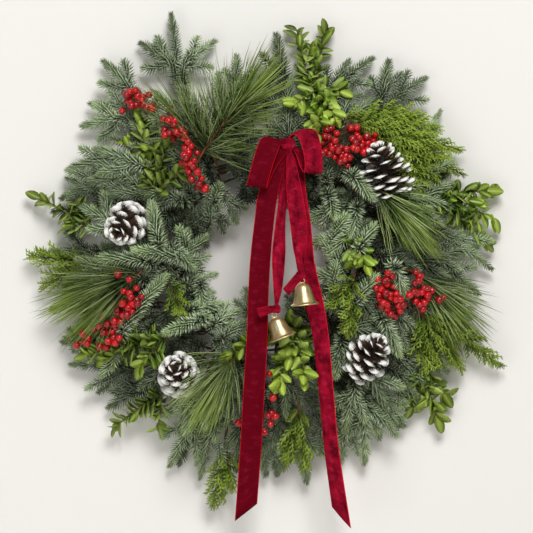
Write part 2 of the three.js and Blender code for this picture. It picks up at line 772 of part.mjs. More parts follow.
const END_SHIFTS = [0, 6, -6, 12, -12, 20, -20];
const LIFTS = [0, 7, -7, 14, -14, 22, -22, 30, -30, 40];
const SWAYS = [0, 9, -9, 18, -18, 28, -28];

/** The first of several curved ways from one place to the next that touches nothing. */
function findWay(from, knots, stem, node, endShifts = [0]) {
  for (const shift of endShifts) {
    const ends = knots.map((knot) => knot.clone().add(at(0, 0, shift)));
    for (const lift of LIFTS) {
      for (const sway of SWAYS) {
        const middle = from.clone().lerp(ends[0], 0.5);
        const across = ends[0].clone().sub(from).cross(FRONT).normalize();
        middle.add(at(0, 0, lift)).addScaledVector(across, sway);
        const points = spread([from, middle, ...ends], stem.pitch);
        if (stemIsClear(withTip(points, stem.tip), stem.radius[0], node)) {
          return points;
        }
      }
    }
  }
  return null;
}

/** A pick from the nearest free place on the rails to the spray's hub. */
function makePick(node, hub, radius) {
  const outward = Math.hypot(hub.x, hub.z) > BUNDLE_RING;
  const stem = { ...BARE, sides: 3, offset: 0, tip: 2.5, fromRoot: true, pitch: PICK_STEP, radius: [radius] };
  for (const slot of slotsNear(hub.x, hub.z).slice(0, 6)) {
    const [start, bend] = pickStart(slot, radius, outward);
    const way = findWay(bend, [hub], stem, node);
    if (way) {
      slots.splice(slots.indexOf(slot), 1);
      const points = [start, ...way];
      claimPath(withTip(points, stem.tip), radius, { node, stem: `${node}_pick` });
      return growStem(points, points.map(() => radius), stem, {});
    }
  }
  throw new Error(`${node} finds no free place on the rails`);
}

// Leafy stems of each kind --------------------------------------------------------------------

const STYLES = {
  fir: {
    sides: 3, offset: 0, turn: 0.5, flat: 1, tip: 7, pitch: FIR_PITCH, radius: [1.7, 1.1], leafy: 1,
    sprout: (cell, share, ring) => {
      const lean = radians(52 - 20 * share);
      return ring % 6 === 5 ? null : spike(cell, lean, FIR_NEEDLE * (1 - 0.25 * share ** 3), 1.4);
    },
  },
  pine: {
    sides: 5, offset: 0, turn: 0.5, flat: 1, tip: 14, pitch: 7, radius: [2.4, 1.6], leafy: PINE_LEAFY,
    sprout: (cell, share) => spike(cell, radians(64 - 54 * share), PINE_NEEDLE, 1.6),
  },
  cedar: {
    sides: 4, offset: -0.5, turn: 0, flat: 0.65, tip: 9, pitch: 10.5, radius: [1.7, 1.1], leafy: 1,
    sprout: (cell, share, ring) => {
      const isSide = cell.k % 2 === 1;
      const length = CEDAR_BRANCHLET * (1 - 0.6 * share) * (ring % 2 === 0 ? 1 : 0.7);
      return isSide ? spike(cell, radians(46 - 14 * share), length, 1.1) : null;
    },
  },
};

/** Grows one leafy stem that carries sprouts from the ring `leafyFrom` to its tip. */
function leafyStem(points, style, owner, leafyFrom) {
  const radii = points.map((_, i) => THREE.MathUtils.lerp(...style.radius, i / (points.length - 1)));
  return growStem(points, radii, { ...style, leafyFrom }, owner);
}

/** A spray of one kind: a pick to the hub, and a branch from the hub to each tip or through its knots. */
function makeSpray(name, finish, hubPlace, tips, grow) {
  const hub = inMound(...hubPlace);
  const solids = [makePick(name, hub, PICK_RADIUS)];
  tips.forEach((tip, i) => {
    const knots = Array.isArray(tip[0]) ? tip : [tip];
    const stem = grow(hub, knots.map((knot) => inMound(...knot)), { node: name, stem: `${name}_${i}` });
    if (stem) {
      solids.push(stem);
    }
  });
  addNode(name, join(solids), finish);
}

function growNeedled(style) {
  return (hub, knots, owner) => {
    const points = findWay(hub, knots, style, owner.node, END_SHIFTS);
    if (!points) {
      return null;
    }
    claimPath(withTip(points, style.tip), style.radius[0], owner);
    const leafyRings = style.leafy > 1 ? Math.round(style.leafy / style.pitch) : points.length - 2;
    return leafyStem(points, style, owner, Math.max(1, points.length - 1 - leafyRings));
  };
}

/** Boxwood: crossed pairs of leaves on a four-sided stem, closer to it towards the tip. */
function growBoxwood(hub, knots, owner) {
  const stem = { pitch: BOXWOOD_PITCH, radius: BOXWOOD_STEM, tip: 3 };
  const way = findWay(hub, knots, stem, owner.node, END_SHIFTS);
  if (!way) {
    return null;
  }
  claimPath(withTip(way, stem.tip), BOXWOOD_STEM[0], owner);
  const firstPair = Math.max(1, way.length - Math.round(BOXWOOD_LEAFY / BOXWOOD_PITCH));
  const bare = [way[0], ...way.slice(1, firstPair).filter((_, i) => i % 2 === 1)];
  const leafy = way.slice(firstPair).flatMap((point, i) => {
    const below = point.clone().lerp(way[firstPair + i - 1], 0.2);
    return [below, point];
  });
  const points = [...bare, ...leafy];
  const radii = points.map((_, i) => THREE.MathUtils.lerp(...BOXWOOD_STEM, i / (points.length - 1)));
  const sprout = (cell, share, ring) => {
    const size = (1 - 0.3 * share ** 3) * (cell.k % 2 === 0 ? 1 : 0.9);
    const lean = radians(64 - 34 * share);
    const isShown = ring % 2 === 0 && cell.out.dot(FRONT) > -0.8;
    return isShown ? leaf(cell, lean, BOXWOOD_LEAF * size, BOXWOOD_HALF_WIDTH * size) : null;
  };
  const style = { ...stem, sides: 4, offset: 0, turn: 0, flat: 1, leafyFrom: bare.length, sprout };
  return growStem(points, radii, style, owner);
}

// Cones ---------------------------------------------------------------------------------------

const CONES = {
  cone_left: { centre: [-171, 46, 78], axis: [-0.35, -0.35, 0.85] },
  cone_right: { centre: [154, 114, 80], axis: [-0.3, 0.9, 0.3] },
  cone_lower_left: { centre: [-105, -139, 78], axis: [-0.1, 0.3, 0.95] },
  cone_lower_right: { centre: [132, -118, 78], axis: [0.45, 0.5, 0.6] },
};

/** Egg-shaped core of a cone; every cell of it carries one scale that widens to a blunt end. */
function coneSolid(centre, axis) {
  const points = [];
  const radii = [];
  for (let i = 0; i <= CONE_RINGS; i++) {
    const share = i / CONE_RINGS;
    points.push(centre.clone().addScaledVector(axis, (share - 0.5) * CONE_LENGTH * 0.82));
    radii.push(3 + 5.5 * Math.sin(Math.PI * (0.16 + 0.78 * share)));
  }
  const shell = new Shell();
  const style = { sides: CONE_SIDES, offset: 0, turn: 0.5, flat: 1 };
  const frames = framesAlong(points);
  const rings = frames.map((frame, i) => ringOf(shell, frame, radii[i], style, i));
  for (let i = 0; i < CONE_RINGS; i++) {
    const share = (i + 0.5) / CONE_RINGS;
    const reach = CONE_RADIUS * Math.sin(Math.PI * (0.2 + 0.62 * share)) - radii[i];
    for (let k = 0; k < CONE_SIDES; k++) {
      const cell = cellOf(shell, rings[i], rings[i + 1], frames[i], frames[i + 1], k);
      coneScale(shell, cell, reach, radians(78 - 42 * share));
    }
  }
  const base = shell.point(points[0].clone().addScaledVector(axis, -2));
  const apex = shell.point(points[CONE_RINGS].clone().addScaledVector(axis, 6));
  shell.fan(rings[0].slice().reverse(), base);
  shell.fan(rings[CONE_RINGS], apex);
  return shell.solid();
}

function coneScale(shell, cell, reach, lean) {
  const direction = leaning(cell, lean);
  const across = cell.out.clone().cross(cell.along).normalize().negate();
  const face = direction.clone().cross(across).normalize();
  if (face.dot(cell.along) < 0) {
    face.negate();
  }
  const firstEdge = placeOf(shell, cell.corners[1]).sub(placeOf(shell, cell.corners[0]));
  const sense = Math.sign(firstEdge.dot(across)) || 1;
  const [halfWidth, halfThickness] = CONE_SCALE_HALF;
  const end = [[-1, -1], [1, -1], [1, 1], [-1, 1]].map(([side, up]) => shell.point(cell.centre.clone()
    .addScaledVector(direction, reach)
    .addScaledVector(across, side * sense * halfWidth)
    .addScaledVector(face, up * halfThickness)));
  shell.loft(cell.corners, end);
  shell.cap(end);
}

function makeCones() {
  for (const [name, { centre, axis }] of Object.entries(CONES)) {
    const middle = at(...centre);
    const direction = at(...axis).normalize();
    const half = CONE_LENGTH / 2;
    const base = middle.clone().addScaledVector(direction, -half * 0.8);
    const tip = middle.clone().addScaledVector(direction, half * 0.5);
    claim(base, tip, CONE_RADIUS - 4, CONE_RADIUS - 6, { node: name });
    const pick = makePick(name, base.clone().addScaledVector(direction, 8), 1.3);
    addNode(name, join([coneSolid(middle, direction), pick]), "cone");
  }
}

// Berries -------------------------------------------------------------------------------------

/** Way of each berry twig, as (x, z). */
const BERRY_TWIGS = {
  berries_upper_left: [[-146, 186], [-154, 204], [-176, 218]],
  berries_left_chain: [[-118, 186], [-98, 165], [-92, 135], [-74, 96]],
  berries_left: [[-166, -24], [-174, -62], [-196, -84], [-224, -100]],
  berries_top_right: [[80, 146], [108, 162], [142, 150]],
  berries_right: [[154, -14], [152, -48], [174, -56], [220, -40]],
  berries_bottom: [[10, -142], [10, -190], [-26, -206]],
};

/** A berry on its own short stalk, both lofted from a cell of the twig. */
function berry(cell, stalk) {
  const direction = leaning(cell, radians(68));
  const start = cell.edge.clone().addScaledVector(direction, -cell.edge.dot(direction)).normalize();
  const side = direction.clone().cross(start);
  const middle = (share) => stalk * share + BERRY_RADIUS;
  const ring = (shell, distance, radius, turn) => [0, 1, 2, 3].map((k) => {
    const angle = (k * 2 - 3 + turn) * Math.PI / 4;
    return shell.point(cell.centre.clone().addScaledVector(direction, distance)
      .addScaledVector(start, radius * Math.cos(angle)).addScaledVector(side, radius * Math.sin(angle)));
  });
  const centre = (share) => cell.centre.clone().addScaledVector(direction, middle(share));
  return {
    limbs: (share, owner) => [
      capsule(cell.centre, centre(share), 0.9, 0.9, owner, true),
      capsule(centre(share), centre(share), BERRY_RADIUS, BERRY_RADIUS, owner, true),
    ],
    build: (shell, corners, share) => {
      const rings = [
        ring(shell, middle(share) - BERRY_RADIUS * 0.94, 0.8, 0),
        ring(shell, middle(share) - BERRY_RADIUS * 0.4, BERRY_RADIUS * 0.95, 0),
        ring(shell, middle(share) + BERRY_RADIUS * 0.42, BERRY_RADIUS * 0.95, 1),
      ];
      shell.loft(corners, rings[0]);
      shell.loft(rings[0], rings[1]);
      shell.loft(rings[1], rings[2]);
      shell.fan(rings[2], shell.point(centre(share).addScaledVector(direction, BERRY_RADIUS)));
    },
  };
}

function makeBerries() {
  const random = randomFrom(11);
  for (const [name, way] of Object.entries(BERRY_TWIGS)) {
    const knots = way.map(([x, z]) => inMound(x, z, 0.85));
    const owner = { node: name, stem: `${name}_twig` };
    const pick = makePick(name, knots[0], PICK_RADIUS);
    const points = spread(knots, BERRY_PITCH);
    const sprout = (cell) => (cell.out.dot(FRONT) > -0.35 ? berry(cell, 3 + 7 * random()) : null);
    const style = { sides: 4, offset: 0, turn: 0.5, flat: 1, leafyFrom: 0, tip: 2, sprout };
    claimPath(withTip(points, style.tip), BERRY_TWIG, owner);
    addNode(name, join([pick, growStem(points, points.map(() => BERRY_TWIG), style, owner)]), "berry");
  }
}

// Sprays: hub, then tips, each as (x, z, layer) -----------------------------------------------

const BOXWOOD = {
  boxwood_top: [[60, 205, 0.8], [[44, 292, 0.45], [80, 290, 0.5]]],
  boxwood_top_front: [[72, 215, 0.85], [[68, 160, 1.08], [40, 196, 1.05]]],
  boxwood_upper_left: [[-134, 84, 0.85], [[-155, 190, 0.8], [-118, 160, 0.95]]],
  boxwood_left: [[-215, 41, 0.7], [[-280, 80, 0.6]]],
  boxwood_right: [[215, 80, 0.7], [[285, 88, 0.6], [292, 52, 0.65], [288, 20, 0.5]]],
  boxwood_left_low: [[-119, -95, 0.85], [[-222, -121, 0.85], [-146, -130, 1.05]]],
  boxwood_bottom_left: [[-125, -165, 0.8], [[-184, -207, 0.7], [-131, -208, 0.9]]],
  boxwood_bottom_mid: [[42, -80, 0.85], [[20, -152, 1.08], [52, -146, 1.08], [-36, -112, 1.0]]],
  boxwood_right_low: [[195, -125, 0.6], [[222, -198, 0.6]]],
  boxwood_centre_right: [[112, 28, 0.9], [[130, -4, 1.1]]],
};

const PINE = {
  pine_top: [[-80, 130, 0.75], [[-18, 212, 1.0]]],
  pine_top_left: [[-85, 160, 0.6], [[-138, 226, 0.55]]],
  pine_left: [[-160, -30, 0.7], [[-216, -42, 0.85]]],
  pine_right_mid: [[128, 86, 0.8], [[168, 44, 1.02]]],
  pine_right_low: [[200, -20, 0.7], [[240, -40, 0.7]]],
  pine_bottom_left: [[-22, -112, 0.8], [[-50, -150, 1.02]]],
};

const CEDAR = {
  cedar_right_top: [[112, 178, 0.8], [
    [[172, 190, 0.9], [250, 134, 0.7]],
    [[160, 176, 0.95], [185, 121, 1.02]],
    [[190, 166, 0.9], [216, 99, 0.95]],
  ]],
  cedar_right_low: [[196, -62, 0.8], [[202, -136, 0.85], [252, -134, 0.6], [300, -130, 0.5]]],
  cedar_left: [[-205, -4, 0.6], [[-292, 6, 0.6], [-276, -28, 0.6]]],
  cedar_bottom_left: [[-48, -230, 0.6], [[-62, -306, 0.6], [-38, -284, 0.8]]],
  cedar_bottom_mid: [[46, -178, 0.85], [[30, -250, 0.85], [52, -260, 0.9]]],
  cedar_centre_right: [[116, -15, 0.9], [[88, -54, 1.05], [108, -88, 1.0]]],
  cedar_inner_left: [[-118, -24, 0.9], [[-103, -60, 1.05]]],
};

// Fir: each twig as root and tip, (x, z, layer) -----------------------------------------------

const FIR_TWIGS = [
  [[-105, 237, 0.45], [-115, 312, 0.45]],
  [[-112, 245, 0.6], [-152, 275, 0.4]],
  [[-100, 245, 0.7], [-61, 278, 0.5]],
  [[-156, 206, 0.5], [-199, 252, 0.5]],
  [[-168, 180, 0.6], [-225, 172, 0.6]],
  [[-180, 128, 0.6], [-242, 118, 0.6]],
  [[-152, 121, 0.9], [-209, 142, 0.85]],
  [[29, 228, 0.4], [18, 286, 0.4]],
  [[97, 221, 0.5], [138, 256, 0.5]],
  [[150, 202, 0.5], [160, 252, 0.5]],
  [[162, 200, 0.5], [206, 232, 0.45]],
  [[179, 78, 0.8], [248, 68, 0.85]],
  [[172, 90, 0.7], [225, 190, 0.45]],
  [[166, 65, 0.9], [212, 46, 0.9]],
  [[215, 40, 0.5], [289, -8, 0.5]],
  [[222, -4, 0.45], [272, -40, 0.45]],
  [[110, 109, 0.9], [137, 80, 1.04]],
  [[82, 86, 0.8], [92, 57, 1.08]],
  [[85, 20, 0.9], [104, 58, 1.04]],
  [[100, -5, 0.9], [74, 30, 1.04]],
  [[115, -55, 0.85], [142, -18, 1.0]],
  [[150, -70, 0.9], [172, -115, 1.02]],
  [[100, -95, 0.8], [92, -142, 0.9]],
  [[116, -154, 0.8], [104, -212, 0.85]],
  [[129, -172, 0.7], [129, -252, 0.6]],
  [[148, -164, 0.6], [178, -205, 0.6]],
  [[180, -118, 0.6], [232, -138, 0.55]],
  [[48, -205, 0.5], [56, -276, 0.5]],
  [[0, -215, 0.5], [4, -268, 0.5]],
  [[-30, -205, 0.5], [-32, -262, 0.5]],
  [[-62, -205, 0.5], [-78, -272, 0.5]],
  [[-84, -195, 0.6], [-116, -256, 0.55]],
  [[-71, -168, 0.75], [-98, -214, 0.85]],
  [[-165, -138, 0.5], [-240, -130, 0.5]],
  [[-128, 18, 0.95], [-138, 72, 1.0]],
  [[-140, 0, 0.85], [-206, 4, 0.98]],
  [[-90, 0, 0.7], [-104, 42, 0.95]],
  [[-109, -8, 0.8], [-71, 32, 0.9]],
  [[-90, -60, 0.85], [-52, -54, 0.9]],
  [[-140, -51, 0.9], [-183, -86, 1.0]],
  [[-71, -72, 0.85], [-120, -88, 1.02]],
  [[-50, 85, 0.6], [-34, 52, 0.7]],
  [[60, -75, 0.6], [42, -42, 0.6]],
  [[8, 108, 0.6], [30, 70, 0.6]],
];

function bunchName(k) {
  return `fir_bunch_${String(k + 1).padStart(2, "0")}`;
}

/** The two ends of a bunch's tied butts, which lie along the ring inside their clamp. */
function bundleEnds(degrees) {
  const half = ringPoint(BUNDLE_LENGTH / 2, degrees + 90, 0);
  const centre = ringPoint(BUNDLE_RING, degrees, BUNDLE_DEPTH);
  return [centre.clone().sub(half), centre.clone().add(half)];
}

function claimBundles() {
  CLAMP_ANGLES.forEach((degrees, k) => {
    claimPath(bundleEnds(degrees), BUNDLE_RADIUS, { node: bunchName(k), stem: "bundle" });
  });
}

/** Where a twig leaves its bundle: near the end that faces the twig's root. */
function twigStart(degrees, root, random) {
  const tangent = ringPoint(1, degrees + 90, 0);
  const start = ringPoint(BUNDLE_RING, degrees, BUNDLE_DEPTH);
  const side = Math.sign(root.clone().sub(start).dot(tangent)) || 1;
  const jitter = () => (random() - 0.5) * BUNDLE_RADIUS / 2;
  const fromMiddle = BUNDLE_LENGTH * (0.3 + 0.1 * random());
  return start.addScaledVector(tangent, side * fromMiddle).add(at(jitter(), jitter(), 1 + random()));
}

/** Number of the clamp nearest to a place. */
function nearestClamp([x, z]) {
  const angle = THREE.MathUtils.radToDeg(Math.atan2(z, x)) + 360;
  return Math.round(angle * CLAMP_COUNT / 360) % CLAMP_COUNT;
}


/** The twig's way from its bundle: bare as far as its root place, and leafy on to its tip. */
function firTwig([root, tip], i, random) {
  const style = STYLES.fir;
  const bunch = nearestClamp(root);
  const owner = { node: bunchName(bunch), stem: `fir_${i}` };
  const rootPlace = inMound(...root);
  const start = twigStart(CLAMP_ANGLES[bunch], rootPlace, random);
  const bareStyle = { ...style, pitch: FIR_BARE_PITCH };
  const bare = findWay(start, [rootPlace], bareStyle, owner.node, END_SHIFTS);
  const leafy = bare && findWay(bare.at(-1), [inMound(...tip)], style, owner.node, END_SHIFTS);
  if (!leafy) {
    throw new Error(`fir twig ${i} finds no clear way`);
  }
  const points = [...bare, ...leafy.slice(1)];
  claimPath(withTip(points, style.tip), style.radius[0], owner);
  return { bunch, points, owner, leafyFrom: bare.length - 1 };
}

/** All twigs are laid before any needle grows, so that none is walled in by its neighbours' needles. */
function makeFir() {
  const random = randomFrom(5);
  const twigs = FIR_TWIGS.map((places, i) => firTwig(places, i, random));
  CLAMP_ANGLES.forEach((degrees, k) => {
    const bundle = wire(bundleEnds(degrees), BUNDLE_RADIUS, 8);
    const stems = twigs.filter((twig) => twig.bunch === k)
      .map(({ points, owner, leafyFrom }) => leafyStem(points, STYLES.fir, owner, leafyFrom));
    addNode(bunchName(k), join([bundle, ...stems]), "fir");
  });
}

// ---------------------------------------------------------------------------------------------
// Assembly
// ---------------------------------------------------------------------------------------------

function keepHoleOpen() {
  const [x, z] = HOLE_CENTRE;
  claim(at(x, z, -20), at(x, z, 180), HOLE_RADIUS, HOLE_RADIUS, { node: "hole" });
}

makeFrame();
makeHangingLoop();
claimBundles();
makeBow();
makeBowWire();
keepHoleOpen();
for (const side of ["left", "right"]) {
  makeBell(side);
  makeClapper(side);
}
makeCones();
makeBerries();
for (const [name, [hub, tips]] of Object.entries(BOXWOOD)) {
  makeSpray(name, "boxwood", hub, tips, growBoxwood);
}
for (const [name, [hub, tips]] of Object.entries(PINE)) {
  makeSpray(name, "pine", hub, tips, growNeedled(STYLES.pine));
}
for (const [name, [hub, tips]] of Object.entries(CEDAR)) {
  makeSpray(name, "cedar", hub, tips, growNeedled(STYLES.cedar));
}
makeFir();

export default wreath;
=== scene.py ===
# %% [markdown]
# # A fresh evergreen wreath with a velvet bow and two brass bells
# The solids of the wreath come first: a wire ring with a hanging loop, bunches of fir, picks of
# other greenery, cones, ribbons and bells. Every piece below is made round them, in metres, in the
# same place, so nothing has to be fitted afterwards.

# %% Load the solids
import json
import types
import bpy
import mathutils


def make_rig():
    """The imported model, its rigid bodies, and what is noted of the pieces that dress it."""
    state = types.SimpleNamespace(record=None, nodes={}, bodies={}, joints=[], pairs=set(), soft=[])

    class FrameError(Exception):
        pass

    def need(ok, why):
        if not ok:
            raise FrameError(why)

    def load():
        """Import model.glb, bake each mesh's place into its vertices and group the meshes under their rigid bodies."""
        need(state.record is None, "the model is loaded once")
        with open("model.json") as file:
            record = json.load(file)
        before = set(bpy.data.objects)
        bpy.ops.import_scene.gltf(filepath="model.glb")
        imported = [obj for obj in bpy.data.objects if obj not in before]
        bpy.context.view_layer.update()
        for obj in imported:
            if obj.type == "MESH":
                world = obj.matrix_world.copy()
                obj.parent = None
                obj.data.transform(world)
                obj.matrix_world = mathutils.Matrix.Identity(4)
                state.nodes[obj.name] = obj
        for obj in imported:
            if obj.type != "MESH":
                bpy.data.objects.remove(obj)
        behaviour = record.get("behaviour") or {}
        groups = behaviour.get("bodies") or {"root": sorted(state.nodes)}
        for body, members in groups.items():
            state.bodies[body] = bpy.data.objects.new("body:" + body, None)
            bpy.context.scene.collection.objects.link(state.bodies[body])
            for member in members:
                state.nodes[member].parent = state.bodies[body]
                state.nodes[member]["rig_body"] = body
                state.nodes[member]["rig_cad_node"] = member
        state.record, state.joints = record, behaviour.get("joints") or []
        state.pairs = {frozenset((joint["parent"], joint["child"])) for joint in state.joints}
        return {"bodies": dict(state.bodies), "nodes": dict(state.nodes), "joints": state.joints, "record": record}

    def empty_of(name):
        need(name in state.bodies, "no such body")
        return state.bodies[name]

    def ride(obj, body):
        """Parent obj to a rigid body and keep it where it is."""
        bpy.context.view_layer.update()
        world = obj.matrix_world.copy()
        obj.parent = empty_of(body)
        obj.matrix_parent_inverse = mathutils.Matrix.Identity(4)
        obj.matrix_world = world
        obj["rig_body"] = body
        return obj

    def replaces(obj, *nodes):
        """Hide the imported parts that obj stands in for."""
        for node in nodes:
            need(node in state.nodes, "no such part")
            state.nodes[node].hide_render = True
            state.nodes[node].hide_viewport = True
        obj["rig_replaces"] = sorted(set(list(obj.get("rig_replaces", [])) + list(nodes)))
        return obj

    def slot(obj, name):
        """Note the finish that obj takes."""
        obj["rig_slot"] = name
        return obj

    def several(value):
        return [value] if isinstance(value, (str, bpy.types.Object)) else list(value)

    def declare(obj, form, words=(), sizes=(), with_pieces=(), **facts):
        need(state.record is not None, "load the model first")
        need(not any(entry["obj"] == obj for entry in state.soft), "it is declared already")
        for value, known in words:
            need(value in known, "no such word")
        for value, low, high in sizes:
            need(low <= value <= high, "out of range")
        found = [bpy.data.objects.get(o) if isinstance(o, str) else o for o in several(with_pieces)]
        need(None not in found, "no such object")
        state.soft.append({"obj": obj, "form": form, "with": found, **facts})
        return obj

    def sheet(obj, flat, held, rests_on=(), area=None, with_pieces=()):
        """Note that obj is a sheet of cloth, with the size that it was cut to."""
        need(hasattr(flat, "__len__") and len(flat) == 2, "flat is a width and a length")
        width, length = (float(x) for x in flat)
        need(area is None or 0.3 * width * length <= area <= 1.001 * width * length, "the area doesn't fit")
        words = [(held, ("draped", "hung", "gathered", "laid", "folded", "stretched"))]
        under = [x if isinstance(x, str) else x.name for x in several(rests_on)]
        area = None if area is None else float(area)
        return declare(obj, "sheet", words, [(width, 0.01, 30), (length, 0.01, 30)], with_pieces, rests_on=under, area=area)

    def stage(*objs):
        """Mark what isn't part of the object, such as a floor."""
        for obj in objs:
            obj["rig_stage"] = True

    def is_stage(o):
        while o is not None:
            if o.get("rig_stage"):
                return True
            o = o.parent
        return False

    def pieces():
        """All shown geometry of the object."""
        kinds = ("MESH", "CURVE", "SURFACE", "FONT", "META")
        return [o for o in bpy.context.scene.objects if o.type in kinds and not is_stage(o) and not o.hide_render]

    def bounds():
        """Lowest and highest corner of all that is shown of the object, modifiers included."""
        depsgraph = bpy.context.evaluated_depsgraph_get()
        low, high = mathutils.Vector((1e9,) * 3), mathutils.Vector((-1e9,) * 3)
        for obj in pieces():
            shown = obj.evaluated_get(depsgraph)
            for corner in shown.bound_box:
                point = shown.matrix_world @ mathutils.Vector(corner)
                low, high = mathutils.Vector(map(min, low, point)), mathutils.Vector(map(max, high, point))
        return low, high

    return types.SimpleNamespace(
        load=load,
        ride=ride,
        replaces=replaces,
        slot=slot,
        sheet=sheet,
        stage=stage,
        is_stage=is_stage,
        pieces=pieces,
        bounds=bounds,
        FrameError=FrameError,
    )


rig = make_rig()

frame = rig.load()
cad_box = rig.bounds()

import json
import math
import random

import bpy
import bmesh
import numpy as np
from mathutils import Matrix, Vector

print("solids:", len(frame["nodes"]), "bodies:", sorted(frame["bodies"]))

# %% [markdown]
# The layout is written as a florist would measure it: millimetres to the right of and above the
# middle of the ring, and millimetres out from the wall. One function turns these into metres below
# the nail, so no other line has to know where the nail is.

# %% Places
MM = 0.001
FRONT = Vector((0, -1, 0))
HANG_DROP = 162.7          # the ring's middle hangs this far below the nail
RAIL_RADII = (112, 142)
RAIL_WIRE = 1.6            # radius of the rails' wire
RAIL_DEPTH = 4.9
CLAMPS = 10
CLAMP_STEP = 360 // CLAMPS
BUNDLE_RING = 127          # the tied bundles lie halfway between the rails
BUNDLE_DEPTH = 13.9
BUNDLE_HALF = 15           # half a bundle's length
BUNDLE_RADIUS = 7
GAP = 0.35                 # what rests on a wire stays this far from it


def at(x, z, depth):
    """A place in metres from millimetres round the middle of the ring."""
    return Vector((x, -depth, z - HANG_DROP)) * MM


def ring_point(radius, degrees, depth):
    turn = math.radians(degrees)
    return at(radius * math.cos(turn), radius * math.sin(turn), depth)


print("the nail bears at", at(0, HANG_DROP, 0)[:])

# %% [markdown]
# Greenery lies in a mound that is thickest over the wire ring and thins out to both sides. A leaf's
# place in it is a layer, a share of the mound's depth at that spot. The layer also tells how much
# light reaches the leaf: little deep inside, all of it at the front, and a little more at the rim.

# %% The mound
MOUND_RING = 145           # the mound is thickest over this radius
MOUND_HALF_WIDTH = 130
MOUND_EDGE = 28            # its depth at both edges
MOUND_RISE = 62            # what the middle adds to that
RIM_FROM = 195             # outside this radius the rim gets more light
RIM_WIDTH = 70
RIM_LIGHT = 0.1


def in_mound(x, z, layer):
    across = max(-1, min(1, (math.hypot(x, z) - MOUND_RING) / MOUND_HALF_WIDTH))
    return at(x, z, layer * (MOUND_EDGE + MOUND_RISE * math.cos(across * math.pi / 2) ** 2))


def layer_of(place):
    """How much light reaches a place: 0 deep under the mound, 1 at its front."""
    x, z = place.x / MM, place.z / MM + HANG_DROP
    rim = max(0.0, min(1.0, (math.hypot(x, z) - RIM_FROM) / RIM_WIDTH))
    return place.y / in_mound(x, z, 1.0).y + RIM_LIGHT * rim


print("the mound's front over the ring:", round(-in_mound(MOUND_RING, 0, 1.0).y / MM), "mm")

# %% [markdown]
# Twigs, ribbons and wires all bend smoothly through a few measured points. A Blender curve could do
# this, but its handles would have to be set one by one; a spline through the points needs none.

# %% Smooth lines
def curve_through(points, steps):
    """Points on a smooth line through the given ones, with their numbers between 0 and len-1."""
    ends = [points[0] * 2 - points[1], *points, points[-1] * 2 - points[-2]]
    line, marks = [], []
    for i in range(len(points) - 1):
        a, b, c, d = ends[i:i + 4]
        for s in range(steps):
            t = s / steps
            line.append(0.5 * (2 * b + (c - a) * t + (2 * a - 5 * b + 4 * c - d) * t ** 2
                               + (3 * b - 3 * c + d - a) * t ** 3))
            marks.append(i + t)
    return line + [points[-1]], marks + [len(points) - 1]


bend, _ = curve_through([at(0, 0, 0), at(1, 1, 0), at(2, 0, 0)], 6)
print("points on a line through three:", len(bend))

# %% [markdown]
# A material and a rule for growing leaves are both trees of nodes. Adding a node by hand takes a
# line for the node and one for each input. A small class does it in one call: each input is given a
# plain value or the output of another node.

# %% Node trees
FAMILIES = ("ShaderNode", "GeometryNode", "FunctionNode", "NodeGroup")


class Nodes:
    """A node tree that is put together node by node."""

    def __init__(self, tree):
        self.tree = tree

    def node(self, kind, inputs=None, **settings):
        """Adds a node; a kind without its family's name is a shader node."""
        made = self.tree.nodes.new(kind if kind.startswith(FAMILIES) else "ShaderNode" + kind)
        for name, value in settings.items():
            setattr(made, name, value)
        for key, value in (inputs or {}).items():
            self.feed(made.inputs[key], value)
        return made

    def feed(self, socket, value):
        if isinstance(value, bpy.types.NodeSocket):
            self.tree.links.new(value, socket)
        else:
            socket.default_value = value

    def maths(self, operation, a, b=0.0):
        return self.node("Math", {0: a, 1: b}, operation=operation).outputs[0]


# %% [markdown]
# Colours are written as the 0 to 255 values that a paint chart gives, and turned into the linear
# values that Blender's shaders work in. Every pattern reads the object's own coordinates or a value
# stored on its points, so it stays in place when the camera moves.

# %% Helpers for finishes
def paint(red, green, blue):
    def linear(v):
        v /= 255
        return v / 12.92 if v <= 0.04045 else ((v + 0.055) / 1.055) ** 2.4
    return (linear(red), linear(green), linear(blue), 1.0)


def grey(value):
    return (value, value, value, 1)


